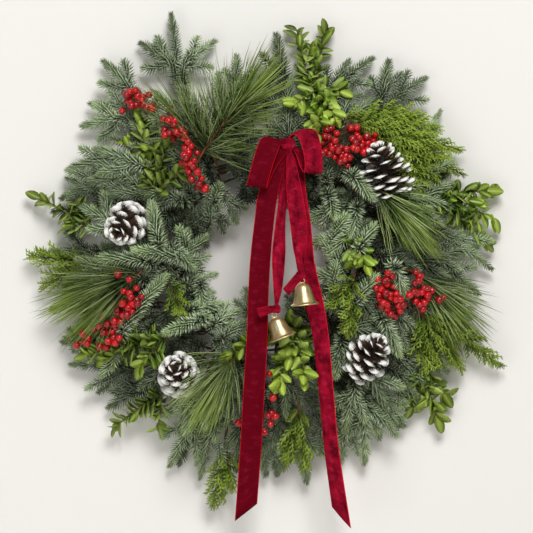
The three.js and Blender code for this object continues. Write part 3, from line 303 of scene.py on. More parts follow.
class Finish(Nodes):
    """A material whose colour, roughness and grain come from patterns."""

    def __init__(self, name, roughness, **values):
        self.material = bpy.data.materials.new(name)
        self.material.use_nodes = True
        super().__init__(self.material.node_tree)
        self.shader = self.tree.nodes["Principled BSDF"]
        self.shader.inputs["Roughness"].default_value = roughness
        for socket, value in values.items():
            self.shader.inputs[socket.replace("_", " ")].default_value = value

    def attributes(self, *names):
        return [self.node("Attribute", attribute_name=name).outputs["Fac"] for name in names]

    def noise(self, scale, detail=3.0, roughness=0.55, stretch=None, where=None):
        where = where or self.node("TexCoord").outputs["Object"]
        if stretch:
            where = self.node("Mapping", {"Vector": where, "Scale": stretch}).outputs[0]
        return self.node("TexNoise", {"Vector": where, "Scale": scale, "Detail": detail,
                                      "Roughness": roughness}).outputs["Fac"]

    def ramp(self, value, stops):
        made = self.node("ValToRGB", {"Fac": value})
        colours = made.color_ramp.elements
        while len(colours) < len(stops):
            colours.new(0.5)
        for element, (place, colour) in zip(colours, stops):
            element.position = place
            element.color = colour
        return made.outputs["Color"]

    def range(self, value, low, high, to_low=0.0, to_high=1.0):
        return self.node("MapRange", {"Value": value, "From Min": low, "From Max": high,
                                      "To Min": to_low, "To Max": to_high}).outputs[0]

    def mix(self, share, a, b, blend="MIX"):
        return self.node("Mix", {0: share, 6: a, 7: b}, data_type="RGBA",
                         blend_type=blend).outputs[2]

    def colour(self, value):
        self.feed(self.shader.inputs["Base Color"], value)

    def rough(self, value):
        self.feed(self.shader.inputs["Roughness"], value)

    def bump(self, height, distance, strength):
        made = self.node("Bump", {"Height": height, "Distance": distance, "Strength": strength})
        self.feed(self.shader.inputs["Normal"], made.outputs[0])


print("a mid green in linear values:", [round(v, 3) for v in paint(90, 128, 70)])

# %% [markdown]
# Needles and leaves share one recipe: a colour from the base of the leaf to its tip, whose dark base
# is painted shade where the leaves crowd the twig, a random shift from leaf to leaf, a younger colour
# towards the end of each twig and slow patches over the whole wreath. Leaves deep inside the mound
# are painted darker, as painted shade, because those in front take their light, and those at the rim
# are painted a little lighter. Four separate materials could be drawn up, but one function keeps them
# alike where the plants are. The twigs under the leaves are bark.

# %% One recipe for greenery
YOUNG_FROM = 0.55          # the younger colour starts at this share of a twig's leafy part
DEEP_LIGHT = 0.55          # the bottom of the mound, where the wall gives some light back
MIDWAY_LIGHT = 0.42


def greenery(name, roughness, base, tip, pale, young, bark, shade=0.3, bright=(0.62, 1.3),
             fade=(0.35, 0.9), dull=0.25):
    f = Finish(name, roughness, Specular_IOR_Level=0.3)
    along, tint, reach, rib, wood, layer = f.attributes("along", "tint", "reach", "rib", "wood",
                                                        "layer")
    # painted shade: each leaf is darkest at its base, where it crowds the twig, and lightens to its tip
    leaf = f.ramp(along, [(0.0, base), (fade[0], base), (fade[1], tip)])
    leaf = f.mix(f.maths("MULTIPLY", f.range(tint, 0.35, 1.0), 0.75), leaf, pale)
    leaf = f.mix(f.range(reach, YOUNG_FROM, 1.0, 0.0, 0.75), leaf, young)
    leaf = f.mix(f.range(tint, 0.1, 0.5, dull, 0.0), leaf, base)
    leaf = f.mix(f.range(rib, 0.72, 0.95, 0.0, 0.55), leaf, pale)
    patches = f.ramp(f.noise(14, 2.0), [(0.3, grey(bright[0])), (0.7, grey(bright[1]))])
    leaf = f.mix(1.0, leaf, patches, "MULTIPLY")
    leaf = f.mix(f.range(f.noise(900, 2.0), 0.3, 0.7, 0.0, 0.25), leaf, base)
    # painted shade by depth in the mound: darker deep inside, lighter again at the very back and at the rim
    light = f.ramp(layer, [(0.04, grey(DEEP_LIGHT)), (0.28, grey(shade)),
                           (0.6, grey(MIDWAY_LIGHT)), (0.92, grey(1))])
    leaf = f.mix(1.0, leaf, light, "MULTIPLY")
    bark_colour = f.mix(f.noise(260, 3.0), bark, tuple(v * 0.45 for v in bark[:3]) + (1,))
    f.colour(f.mix(wood, leaf, bark_colour))
    f.rough(f.range(f.noise(300, 2.0), 0.3, 0.7, roughness - 0.08, roughness + 0.1))
    f.bump(f.noise(1400, 2.0), 0.0003, 0.4)
    return f.material


# %% [markdown]
# Noble fir is a cool green with a white bloom on its needles. Pine and cedar are yellower, and
# boxwood is a fresh green with shiny leaves. Each gets five colours of its own, from the shaded
# base of a leaf to the bark.

# %% The four greens
FIR = greenery("fir_needles", 0.46, base=paint(18, 38, 10), tip=paint(204, 230, 172),
               pale=paint(232, 246, 218), young=paint(208, 234, 168), bark=paint(84, 66, 44),
               shade=0.08, fade=(0.24, 0.85), dull=0.36)
PINE = greenery("pine_needles", 0.42, base=paint(50, 78, 12), tip=paint(154, 182, 70),
                pale=paint(216, 232, 164), young=paint(150, 174, 66), bark=paint(134, 84, 50),
                dull=0.5)
CEDAR = greenery("cedar_fronds", 0.5, base=paint(72, 98, 20), tip=paint(158, 184, 62),
                 pale=paint(168, 190, 84), young=paint(176, 200, 74), bark=paint(104, 76, 44),
                 bright=(0.74, 1.25))
BOXWOOD = greenery("boxwood_leaves", 0.34, base=paint(44, 72, 8), tip=paint(128, 166, 36),
                   pale=paint(204, 228, 116), young=paint(192, 220, 76), bark=paint(120, 112, 62),
                   bright=(0.55, 1.25))
print("greenery finishes:", [m.name for m in (FIR, PINE, CEDAR, BOXWOOD)])

# %% [markdown]
# ## Growing leaves along twigs
# A real spray is one twig with hundreds of like leaves at steady steps. Blender could copy a leaf
# with an array or with particles, but Geometry Nodes can follow a curved twig, turn each leaf by
# the same angle as a plant does, and keep every number as a named input. Each twig is drawn as a
# row of points with its thickness, and the tree does the rest.

# %% A small helper for growing trees
class Tree(Nodes):
    """A Geometry Nodes tree with named inputs, one of which is the seed."""

    def __init__(self, name, inputs):
        super().__init__(bpy.data.node_groups.new(name, "GeometryNodeTree"))
        face = self.tree.interface
        for in_out in ("INPUT", "OUTPUT"):
            face.new_socket("Geometry", in_out=in_out, socket_type="NodeSocketGeometry")
        for label, kind in inputs.items():
            face.new_socket(label, in_out="INPUT", socket_type="NodeSocket" + kind)
        self.given = self.node("NodeGroupInput").outputs
        self.result = self.node("NodeGroupOutput")

    def vector(self, operation, a, b=None, scale=None):
        inputs = {0: a, 1: b, "Scale": scale}
        made = self.node("VectorMath", {k: v for k, v in inputs.items() if v is not None},
                         operation=operation)
        return made.outputs["Value" if operation == "DOT_PRODUCT" else "Vector"]

    def named(self, name):
        return self.node("GeometryNodeInputNamedAttribute", {"Name": name}).outputs[0]

    def random(self, low, high, offset=0):
        """A random number for each point or copy; the offset keeps it apart from other ones."""
        seed = self.maths("ADD", self.given["Seed"], offset) if offset else self.given["Seed"]
        return self.node("FunctionNodeRandomValue", {2: low, 3: high, 8: seed},
                         data_type="FLOAT").outputs[1]

    def wobble(self, label, offset=0):
        """Up to the named input either way, at random."""
        return self.maths("MULTIPLY", self.random(-1.0, 1.0, offset), self.given[label])

    def store(self, geometry, name, value, domain="POINT"):
        made = self.node("GeometryNodeStoreNamedAttribute", {"Geometry": geometry, "Name": name},
                         data_type="FLOAT", domain=domain)
        self.feed(made.inputs["Value"], value)
        return made.outputs[0]


# %% [markdown]
# Two trees are needed, one for leaves and one for berries, and most of their steps are the same: a
# circle swept along each twig is its bark, a pattern is copied onto chosen points, and the copies
# are made real, because the export drops mere instances.

# %% Steps that both trees take
def bark_along(t, twigs, sides):
    ring = t.node("GeometryNodeCurvePrimitiveCircle", {"Resolution": sides, "Radius": 1.0})
    bark = t.node("GeometryNodeCurveToMesh", {"Curve": twigs, "Profile Curve": ring.outputs[0],
                                              "Scale": t.named("thick"), "Fill Caps": True})
    return t.store(bark.outputs[0], "wood", 1.0)


def set_on(t, points, chosen, pattern, turned, size, tint_offset):
    """Copies a pattern onto the chosen points, gives each copy its own tint and makes it real."""
    shape = t.node("GeometryNodeObjectInfo", {"Object": pattern}).outputs["Geometry"]
    copies = t.node("GeometryNodeInstanceOnPoints", {
        "Points": points, "Selection": chosen, "Instance": shape, "Rotation": turned,
        "Scale": size}).outputs[0]
    copies = t.store(copies, "tint", t.random(0.0, 1.0, tint_offset), "INSTANCE")
    return t.node("GeometryNodeRealizeInstances", {"Geometry": copies}).outputs[0]


def joined(t, *parts):
    both = t.node("GeometryNodeJoinGeometry")
    for part in parts:
        t.feed(both.inputs[0], part)
    return both.outputs[0]


def hand_out(t, geometry):
    smooth = t.node("GeometryNodeSetShadeSmooth", {"Geometry": geometry}).outputs[0]
    done = t.node("GeometryNodeSetMaterial", {"Geometry": smooth, "Material": t.given["Finish"]})
    t.feed(t.result.inputs[0], done.outputs[0])
    return t.tree


# %% [markdown]
# On a wall the back of a wreath is pressed flat, and the leaves at its front bend back over the
# rest. Cutting off what reaches too far would leave bare ends, so each point is only moved most of
# the way back to the layer that it has passed.

# %% Press the leaves between two layers
BACK_LAYER = -0.008        # behind this depth the wall presses the leaves flat
FRONT_LAYER = -0.112       # in front of this depth they bend back over the rest
GIVE = (0.1, 0.4)          # how much of their reach past it is left, at the back and at the front


def press_between(t, geometry):
    place = t.node("GeometryNodeInputPosition").outputs[0]
    depth = t.node("SeparateXYZ", {"Vector": place}).outputs[1]
    over = t.maths("MAXIMUM", t.maths("SUBTRACT", depth, BACK_LAYER), 0.0)
    under = t.maths("MINIMUM", t.maths("SUBTRACT", depth, FRONT_LAYER), 0.0)
    shift = t.maths("ADD", t.maths("MULTIPLY", over, GIVE[0] - 1),
                    t.maths("MULTIPLY", under, GIVE[1] - 1))
    move = t.node("CombineXYZ", {"Y": shift}).outputs[0]
    return t.node("GeometryNodeSetPosition", {"Geometry": geometry, "Offset": move}).outputs[0]


print("leaves keep between", -BACK_LAYER / MM, "and", -FRONT_LAYER / MM, "mm from the wall")

# %% [markdown]
# A leaf's way is found in two turns. First it turns round the twig, a fixed angle further than the
# leaf before it. Then it leans away from the twig, less and less towards the tip. Flat sprays like
# cedar keep their leaves in one plane, which the Flatness input does.

# %% Which way a leaf points
TO_THE_LIGHT = (0.08, -0.98, 0.18)   # the front of every twig turns to the room and a little up


def axes_of_twig(t):
    """The way along the twig, and the ways to its front and to its side."""
    way = t.node("GeometryNodeInputTangent").outputs[0]
    part = t.vector("SCALE", way, scale=t.vector("DOT_PRODUCT", way, TO_THE_LIGHT))
    front = t.vector("NORMALIZE", t.vector("SUBTRACT", TO_THE_LIGHT, part))
    return way, front, t.vector("CROSS_PRODUCT", way, front)


def between(t, a, b, angle):
    """A way that has turned from a towards b."""
    return t.vector("ADD", t.vector("SCALE", a, scale=t.maths("COSINE", angle)),
                    t.vector("SCALE", b, scale=t.maths("SINE", angle)))


def leaf_way(t, way, front, side, reach):
    given = t.given
    turn = t.maths("MULTIPLY", t.node("GeometryNodeInputIndex").outputs[0], given["Turn"])
    turn = t.maths("ADD", turn, t.wobble("Wander"))
    forward = t.maths("COSINE", turn)
    ahead = t.maths("MULTIPLY", forward, t.maths("SUBTRACT", 1.0, given["Flatness"]))
    ahead = t.maths("ADD", ahead, given["Forward"])
    outward = t.vector("ADD", t.vector("SCALE", front, scale=ahead),
                       t.vector("SCALE", side, scale=t.maths("SINE", turn)))
    lean = t.node("MapRange", {"Value": t.maths("POWER", reach, 3.0),
                               "To Min": given["Lean at root"],
                               "To Max": given["Lean at tip"]}).outputs[0]
    lean = t.maths("ADD", lean, t.wobble("Lean spread", 11))
    swept = t.maths("MULTIPLY", t.maths("MAXIMUM", forward, 0.0), given["Sweep"])
    lean = t.maths("MULTIPLY", lean, t.maths("SUBTRACT", 1.0, swept))
    return between(t, way, t.vector("NORMALIZE", outward), lean)


# %% [markdown]
# Now the steps are put in order. The twigs become curves, the bark follows them, and points at even
# steps along them each bear a leaf, whose size shrinks or grows with the number on its twig.

# %% The tree that grows leaves along twigs
LEAFY_INPUTS = {
    "Leaf": "Object", "Spacing": "Float", "Turn": "Float", "Wander": "Float",
    "Lean at root": "Float", "Lean at tip": "Float", "Lean spread": "Float", "Forward": "Float",
    "Flatness": "Float", "Face front": "Float", "Sweep": "Float", "Size": "Float",
    "Size spread": "Float", "Twig sides": "Int", "Seed": "Int", "Finish": "Material"}


def leafy_tree():
    t = Tree("leaves_along_twigs", LEAFY_INPUTS)
    given = t.given
    twigs = t.node("GeometryNodeMeshToCurve", {"Mesh": given["Geometry"]}).outputs[0]
    bark = bark_along(t, twigs, given["Twig sides"])
    steps = t.node("GeometryNodeResampleCurve", {"Curve": twigs, "Length": given["Spacing"]},
                   mode="LENGTH").outputs[0]
    way, front, side = axes_of_twig(t)
    reach = t.named("reach")
    face = given["Face front"]
    upper = t.vector("ADD", t.vector("SCALE", way, scale=t.maths("SUBTRACT", 1.0, face)),
                     t.vector("SCALE", front, scale=face))
    turned = t.node("FunctionNodeAxesToRotation", {
        "Primary Axis": leaf_way(t, way, front, side, reach), "Secondary Axis": upper},
        primary_axis="Z", secondary_axis="Y").outputs[0]
    size = t.maths("MULTIPLY", t.named("grow"), given["Size"])
    size = t.maths("MULTIPLY", size, t.maths("ADD", 1.0, t.wobble("Size spread", 23)))
    bears = t.maths("GREATER_THAN", reach, 0.0)
    leaves = set_on(t, steps, bears, given["Leaf"], turned, size, 37)
    return hand_out(t, press_between(t, joined(t, bark, leaves)))


LEAFY = leafy_tree()
print("tree:", LEAFY.name, len(LEAFY.nodes), "nodes")

# %% [markdown]
# A twig is told to the tree by its points and by four numbers on each of them: how thick it is, how
# far along its leafy part the point lies, how large a leaf grows there and how much light it gets.
# They are stored as attributes, which the tree and the finishes read by name.

# %% Twigs as rows of points
def twig(points, radii, leafy_from, grow=1.0, steps=5, shape=None):
    """A smooth twig. Leaves start at a point's number or, below 0, so many mm from the tip."""
    line, marks = curve_through([Vector(p) for p in points], steps)
    span = [0.0]
    for a, b in zip(line, line[1:]):
        span.append(span[-1] + (b - a).length)
    total = span[-1]
    if leafy_from >= 0:
        start = np.interp(leafy_from, marks, span)
    else:
        start = total + leafy_from * MM
    reach = [(s - start) / max(total - start, 1e-6) for s in span]
    thick = np.interp([s / total for s in span], np.linspace(0, 1, len(radii)), radii) * MM
    size = [grow * (shape(max(0.0, r)) if shape else 1.0) for r in reach]
    return {"line": line, "thick": thick, "reach": reach, "grow": size,
            "layer": [layer_of(p) for p in line]}


def store_values(mesh, name, values):
    row = mesh.attributes.new(name, "FLOAT", "POINT").data
    row.foreach_set("value", np.array(values, np.float32))


def rows_mesh(name, twigs):
    mesh = bpy.data.meshes.new(name)
    points, edges, values = [], [], {"thick": [], "reach": [], "grow": [], "layer": []}
    for one in twigs:
        first = len(points)
        points += one["line"]
        edges += [(first + i, first + i + 1) for i in range(len(one["line"]) - 1)]
        for key in values:
            values[key] += list(one[key])
    mesh.from_pydata([p[:] for p in points], edges, [])
    for key, row in values.items():
        store_values(mesh, key, row)
    return mesh


print("points on a plain twig:", len(twig([at(0, 100, 20), at(0, 150, 20)], [1], 0)["line"]))

# %% [markdown]
# A modifier that is left on a piece would be worked out again at every render and may be lost in an
# export. So each tree is run once, its result is kept as a plain mesh, and the modifier goes. Its
# inputs are set by the sockets' identifiers, because two sockets could share a name.

# %% Run a tree and keep the result
def show(name, data):
    made = bpy.data.objects.new(name, data)
    bpy.context.scene.collection.objects.link(made)
    return made


def evaluated_mesh(made):
    bpy.context.view_layer.update()
    graph = bpy.context.evaluated_depsgraph_get()
    return bpy.data.meshes.new_from_object(made.evaluated_get(graph), preserve_all_data_layers=True,
                                           depsgraph=graph)


def run_tree(made, tree, values):
    modifier = made.modifiers.new(tree.name, "NODES")
    modifier.node_group = tree
    for item in tree.interface.items_tree:
        if item.in_out == "INPUT" and item.name in values:
            modifier[item.identifier] = values[item.name]
    mesh, rows = evaluated_mesh(made), made.data
    made.modifiers.clear()
    made.data = mesh
    mesh.name = made.name
    bpy.data.meshes.remove(rows)
    return made


GOLDEN = math.radians(137.5)   # most plants turn each leaf by this much from the last


def grow(name, twigs, leaf, finish, spacing, lean, wander, spread, size_spread, seed, turn=GOLDEN,
         forward=0.0, flatness=0.0, face=0.0, sweep=0.0, size=1.0, sides=5):
    """Grows leaves along twigs: spacing in millimetres, lean in degrees at the root and the tip."""
    return run_tree(show(name, rows_mesh(name, twigs)), LEAFY, {
        "Leaf": leaf, "Spacing": spacing * MM, "Turn": turn, "Wander": wander,
        "Lean at root": math.radians(lean[0]), "Lean at tip": math.radians(lean[1]),
        "Lean spread": spread, "Forward": forward, "Flatness": flatness, "Face front": face,
        "Sweep": sweep, "Size": size, "Size spread": size_spread, "Twig sides": sides,
        "Seed": seed, "Finish": finish})


print("the usual turn from leaf to leaf:", round(math.degrees(GOLDEN), 1), "degrees")

# %% [markdown]
# Every finished piece says three things: the body that it moves with, the slot of its finish, and
# the solids that it is seen in place of. Doing this in one function means that none is forgotten.

# %% Settle a piece on its body
def settle(piece, slot, nodes, body="wreath"):
    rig.ride(piece, body)
    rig.slot(piece, slot)
    if nodes:
        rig.replaces(piece, *nodes)
    lo, hi = np.array(piece.bound_box).min(0), np.array(piece.bound_box).max(0)
    size = np.round((hi - lo) / MM).astype(int)
    print(f"{piece.name}: {len(piece.data.polygons)} faces, {size} mm")
    return piece


def nodes_of(start):
    return sorted(n for n in frame["nodes"] if n.startswith(start))


# %% [markdown]
# ## Single leaves
# Each leaf is drawn once, standing on its base and pointing up, a few dozen faces at most, because
# it is repeated thousands of times. It is a skin over a few rows of points that closes in a tip. A
# fir needle is a flat strip with a low ridge and a blunt tip, 12.5 mm long, and a pine needle bends
# along its 80 mm.

# %% One needle, one leaf
def skin(sides, rows, first=0):
    """Faces over rows of points, up to one last point as the tip, and closed at the base."""
    faces = []
    for i in range(rows - 1):
        for k in range(sides):
            a, b = first + sides * i + k, first + sides * i + (k + 1) % sides
            faces.append((a, b, b + sides, a + sides))
    last = first + sides * (rows - 1)
    faces += [(last + k, last + (k + 1) % sides, last + sides) for k in range(sides)]
    return faces + [tuple(first + k for k in reversed(range(sides)))]


def face_outwards(mesh):
    shell = bmesh.new()
    shell.from_mesh(mesh)
    bmesh.ops.recalc_face_normals(shell, faces=shell.faces)
    shell.to_mesh(mesh)
    shell.free()


def store_along(mesh, length):
    store_values(mesh, "along", np.clip([v.co.z / length for v in mesh.vertices], 0, 1))


def leaf_object(name, points, faces, length):
    """A leaf from points in millimetres."""
    mesh = bpy.data.meshes.new(name)
    mesh.from_pydata([tuple(v * MM for v in p) for p in points], [], faces)
    face_outwards(mesh)
    store_along(mesh, length * MM)
    return show(name, mesh)


def needle(name, length, width, thickness, bend, rings):
    """A needle with a three-cornered section; bend is how far its tip leans to the twig's end."""
    points = []
    for share, fullness in rings:
        z = length * share
        y = bend * share ** 2
        half = width * fullness / 2
        points += [(-half, y, z), (half, y, z), (0, y + thickness * fullness, z)]
    points.append((0, bend, length))
    return leaf_object(name, points, skin(3, len(rings)), length)


FIR_NEEDLE = needle("fir_needle", 12.5, 1.7, 0.7, 1.6, [(0, 0.6), (0.6, 1.0)])
PINE_NEEDLE = needle("pine_needle", 80, 1.0, 0.8, 16, [(0, 0.8), (0.25, 1), (0.5, 1), (0.75, 0.9)])
print("faces:", [(o.name, len(o.data.polygons)) for o in (FIR_NEEDLE, PINE_NEEDLE)])

# %% [markdown]
# ## Noble fir
# The fir is the bulk of the wreath. Its twigs fork like a hand: one leading shoot with two shorter
# ones beside it. A rule could place every shoot, but the outline and the shoots that lie on top
# give the wreath its look, so these are placed one by one.

# %% Where the leading shoots lie
FIR_LEADERS = [  # root (x, z, layer) and tip (x, z, layer)
    [(-105, 237, 0.45), (-115, 312, 0.45)], [(-112, 245, 0.6), (-152, 275, 0.4)],
    [(-100, 245, 0.7), (-61, 278, 0.5)], [(-156, 206, 0.5), (-199, 252, 0.5)],
    [(-168, 180, 0.6), (-225, 172, 0.6)], [(-180, 128, 0.6), (-242, 118, 0.6)],
    [(-152, 121, 0.9), (-209, 142, 0.85)], [(29, 228, 0.4), (18, 286, 0.4)],
    [(97, 221, 0.5), (138, 256, 0.5)], [(150, 202, 0.5), (160, 252, 0.5)],
    [(162, 200, 0.5), (206, 232, 0.45)], [(179, 78, 0.8), (248, 68, 0.85)],
    [(172, 90, 0.7), (225, 190, 0.45)], [(166, 65, 0.9), (212, 46, 0.9)],
    [(215, 40, 0.5), (289, -8, 0.5)], [(222, -4, 0.45), (272, -40, 0.45)],
    [(110, 109, 0.9), (137, 80, 1.04)], [(82, 86, 0.8), (92, 57, 1.08)],
    [(85, 20, 0.9), (104, 58, 1.04)], [(100, -5, 0.9), (74, 30, 1.04)],
    [(115, -55, 0.85), (142, -18, 1.0)], [(150, -70, 0.9), (172, -115, 1.02)],
    [(100, -95, 0.8), (92, -142, 0.9)], [(116, -154, 0.8), (104, -212, 0.85)],
    [(129, -172, 0.7), (129, -252, 0.6)], [(148, -164, 0.6), (178, -205, 0.6)],
    [(180, -118, 0.6), (232, -138, 0.55)], [(48, -205, 0.5), (56, -276, 0.5)],
    [(0, -215, 0.5), (4, -268, 0.5)], [(-30, -205, 0.5), (-32, -262, 0.5)],
    [(-62, -205, 0.5), (-78, -272, 0.5)], [(-84, -195, 0.6), (-116, -256, 0.55)],
    [(-71, -168, 0.75), (-98, -214, 0.85)], [(-165, -138, 0.5), (-240, -130, 0.5)],
    [(-128, 18, 0.95), (-138, 72, 1.0)], [(-140, 0, 0.85), (-206, 4, 0.98)],
    [(-90, 0, 0.7), (-104, 42, 0.95)], [(-109, -8, 0.8), (-71, 32, 0.9)],
    [(-90, -60, 0.85), (-52, -54, 0.9)], [(-150, -60, 0.8), (-190, -66, 0.9)],
    [(-71, -72, 0.85), (-120, -88, 1.02)], [(-50, 85, 0.6), (-34, 52, 0.7)],
    [(60, -75, 0.6), (42, -42, 0.6)], [(8, 108, 0.6), (30, 70, 0.6)],
    [(-168, 190, 0.5), (-216, 200, 0.5)], [(-180, 105, 0.5), (-252, 81, 0.5)],
    [(85, 202, 0.6), (129, 209, 0.6)], [(172, 90, 0.85), (212, 96, 0.85)],
    [(120, 15, 1.0), (140, 45, 1.0)], [(165, -5, 1.0), (178, -40, 1.0)],
    [(141, -166, 0.6), (148, -222, 0.6)], [(110, -198, 0.5), (100, -251, 0.5)],
    [(172, -122, 0.6), (204, -154, 0.6)], [(29, -210, 0.5), (19, -268, 0.5)],
    [(79, -198, 0.6), (72, -241, 0.6)], [(-152, -154, 0.5), (-184, -164, 0.5)],
    [(-221, -95, 0.4), (-250, -101, 0.4)], [(-90, 0, 1.0), (-159, 15, 1.0)],
    [(-96, -29, 0.9), (-59, -16, 0.9)], [(-78, -25, 1.0), (-75, -52, 1.0)],
    [(-62, -80, 0.8), (-30, -62, 0.92)], [(-50, -95, 0.8), (-10, -72, 0.92)],
    [(-30, -100, 0.8), (12, -84, 0.9)], [(104, -30, 0.8), (64, -14, 0.98)],
    [(100, 30, 0.8), (62, 22, 0.98)], [(95, 70, 0.8), (58, 52, 0.94)],
    [(110, -60, 0.8), (70, -50, 0.98)], [(118, 40, 0.85), (84, 10, 1.08)],
    [(120, 70, 0.85), (112, 34, 1.1)], [(90, -40, 0.8), (92, -2, 1.06)],
    [(-177, -91, 0.95), (-120, -18, 1.12)], [(-112, 17, 0.9), (-87, -7, 1.12)],
    [(-15, -72, 0.7), (-20, -36, 0.7)], [(-59, 62, 0.5), (-50, 40, 0.5)],
    [(-90, 46, 0.5), (-72, 22, 0.5)], [(48, -60, 0.5), (38, -36, 0.5)],
]
print("shoots placed by hand:", len(FIR_LEADERS))


# %% [markdown]
# A florist fills the mound between them ring by ring, from the rim inwards, each shoot lapping over
# the roots of the ring outside it like a shingle. The middle of the wreath stays open.

# %% Fill the mound
FILL_RINGS = [  # radius of the roots, how many, a shoot's length, its lean to the side, layers
    (210, 28, (42, 60), 22, (0.3, 0.6)), (184, 30, (52, 70), 30, (0.35, 0.8)),
    (156, 32, (50, 68), 45, (0.35, 0.78)), (130, 28, (46, 62), 60, (0.35, 0.75)),
    (106, 24, (34, 46), 75, (0.35, 0.72)), (88, 20, (26, 36), 100, (0.3, 0.68)),
]
HOLE = Vector((-6, 4))
HOLE_RADIUS = 62


def fill_leaders(seed):
    draw = random.Random(seed)
    made = []
    for radius, count, lengths, lean, layers in FILL_RINGS:
        for i in range(count):
            turn = 2 * math.pi * (i + draw.uniform(-0.35, 0.35)) / count
            root = Vector((math.cos(turn), math.sin(turn))) * (radius + draw.uniform(-9, 9))
            bend = turn + math.radians(draw.uniform(-lean, lean))
            tip = root + Vector((math.cos(bend), math.sin(bend))) * draw.uniform(*lengths)
            if (tip - HOLE).length < HOLE_RADIUS:
                tip = HOLE + (tip - HOLE).normalized() * HOLE_RADIUS
            low = draw.uniform(*layers)
            made.append([(*root, low), (*tip, low + draw.uniform(-0.08, 0.12))])
    return made


LEADERS = FIR_LEADERS + fill_leaders(5)
print("leading shoots:", len(LEADERS))

# %% [markdown]
# Every stem goes back to the ring: its butt is tied with others into a round bundle under the
# nearest clamp, one in the middle and two rings round it. From there it bends up through a knee.

# %% From the bundle to the tip
BUTT_RINGS = [(0, 1), (2.5, 6), (5, 12)]   # radius in the bundle, and how many stems lie on it
KNEE_OUT, KNEE_BACK = 8, 6                 # how far the knee lies along the ring, and to the wall
ARCH = 0.04                                # how high a shoot arches, as a share of its length
BUTTS = [(r * math.cos(2 * math.pi * k / n), r * math.sin(2 * math.pi * k / n))
         for r, n in BUTT_RINGS for k in range(n)]


def nearest_clamp(root):
    """The number of the clamp nearest to a root, and on which side of the clamp it lies."""
    angle = math.degrees(math.atan2(root[1], root[0]))
    k = round(angle / CLAMP_STEP) % CLAMPS
    return k, 1 if (angle - CLAMP_STEP * k + 180) % 360 - 180 >= 0 else -1


def leading_shoot(root, tip, k, side, butt_place, size):
    clamp = math.radians(CLAMP_STEP * k)
    along = Vector((-math.sin(clamp), 0, math.cos(clamp))) * side
    out = Vector((math.cos(clamp), 0, math.sin(clamp)))
    u, v = butt_place
    butt = ring_point(BUNDLE_RING, CLAMP_STEP * k, BUNDLE_DEPTH) + (out * u + FRONT * v) * MM
    first, last = butt - along * BUNDLE_HALF * MM, butt + along * BUNDLE_HALF * MM
    knee = last.lerp(root, 0.5) + along * KNEE_OUT * MM - FRONT * KNEE_BACK * MM
    arch = Vector((0, 0, 1)) * (tip - root).length * ARCH
    middle = root.lerp(tip, 0.5) + arch + FRONT * 3 * MM
    return twig([first, last, knee, root, middle, tip], [1.5, 1.5, 1.2, 0.7], 2.6, size,
                shape=lambda r: 1.0 - 0.35 * max(0, r - 0.82) / 0.18)


print("places for stems in one bundle:", len(BUTTS))

# %% [markdown]
# The two side shoots lie in the plane of the spray. Now and then one is missing, as on a real twig.

# %% Fork each shoot
LIFTED = 0.95              # shoots whose tips lie this far forward stand alone, without side shoots
SHORTEST_FORKED = 24
MISSING = 0.12             # chance that a side shoot is missing
FORK_AT = (0.1, 0.32)      # share of the leading shoot at which it forks
FORK_ANGLE = (32, 46)
FORK_LENGTH = (0.5, 0.66)  # share of the leading shoot's length
NEEDLE_SIZES = (0.85, 1.08)
LIFTED_SIZE = 1.1


def side_shoots(draw, a, b, size):
    long = (b - a).length
    lead = (b - a).normalized()
    flat = lead.cross(FRONT).normalized()
    made = []
    for hand in (-1, 1):
        if draw.random() < MISSING:
            continue
        fork = a.lerp(b, draw.uniform(*FORK_AT)) + FRONT * 1.5 * MM
        bend = math.radians(draw.uniform(*FORK_ANGLE))
        toward = lead * math.cos(bend) + flat * hand * math.sin(bend)
        toward += FRONT * draw.uniform(-0.05, 0.2)
        end = fork + toward.normalized() * long * draw.uniform(*FORK_LENGTH)
        mid = fork.lerp(end, 0.5) + flat * hand * long * 0.035
        made.append(twig([fork, mid, end], [0.9, 0.6], 0.12, size * 0.92, steps=6,
                         shape=lambda r: 1.0 - 0.4 * max(0, r - 0.8) / 0.2))
    return made


def fir_bunches(leaders, seed):
    draw = random.Random(seed)
    bunches = {k: [] for k in range(CLAMPS)}
    used = [0] * CLAMPS
    for root, tip in leaders:
        k, side = nearest_clamp(root)
        a, b = in_mound(*root), in_mound(*tip)
        size = draw.uniform(*NEEDLE_SIZES) if tip[2] < LIFTED else LIFTED_SIZE
        bunches[k].append(leading_shoot(a, b, k, side, BUTTS[used[k] % len(BUTTS)], size))
        used[k] += 1
        if (b - a).length >= SHORTEST_FORKED * MM and tip[2] < LIFTED:
            bunches[k] += side_shoots(draw, a, b, size)
    return bunches


FIR_BUNCHES = fir_bunches(LEADERS, 3)
print("fir shoots:", sum(len(b) for b in FIR_BUNCHES.values()))

# %% [markdown]
# The needles stand nearly all round a fir twig, but those underneath sweep up to the light, so each
# twig looks like a brush. The tree's Forward input pushes them to the front, and its Sweep input
# lays those on top along the twig, so that they hide it.

# %% Grow the fir
for k, twigs in FIR_BUNCHES.items():
    name = f"fir_bunch_{k + 1:02d}"
    piece = grow(name + "_needles", twigs, FIR_NEEDLE, FIR, spacing=0.42, lean=(76, 28),
                 turn=math.radians(53), wander=0.08, spread=0.05, forward=0.42, flatness=0.1,
                 face=0.7, sweep=0.5, size_spread=0.08, seed=20 + k)
    settle(piece, "fir", [name])

# %% [markdown]
# ## Pine, cedar and boxwood
# These are picks: one woody stem pushed between the two rails, forking into the sprays that show.
# Each is given by the place of its fork and the places of its tips.

# %% Picks
PICK_FOOT = 8              # depth at which a leafy pick stands between the rails
HEAVY_PICK_FOOT = 9        # the same for berries and cones


def foot_below(x, z, depth):
    """Where a pick stands between the rails, straight in from its first fork."""
    return ring_point(BUNDLE_RING, math.degrees(math.atan2(z, x)), depth)


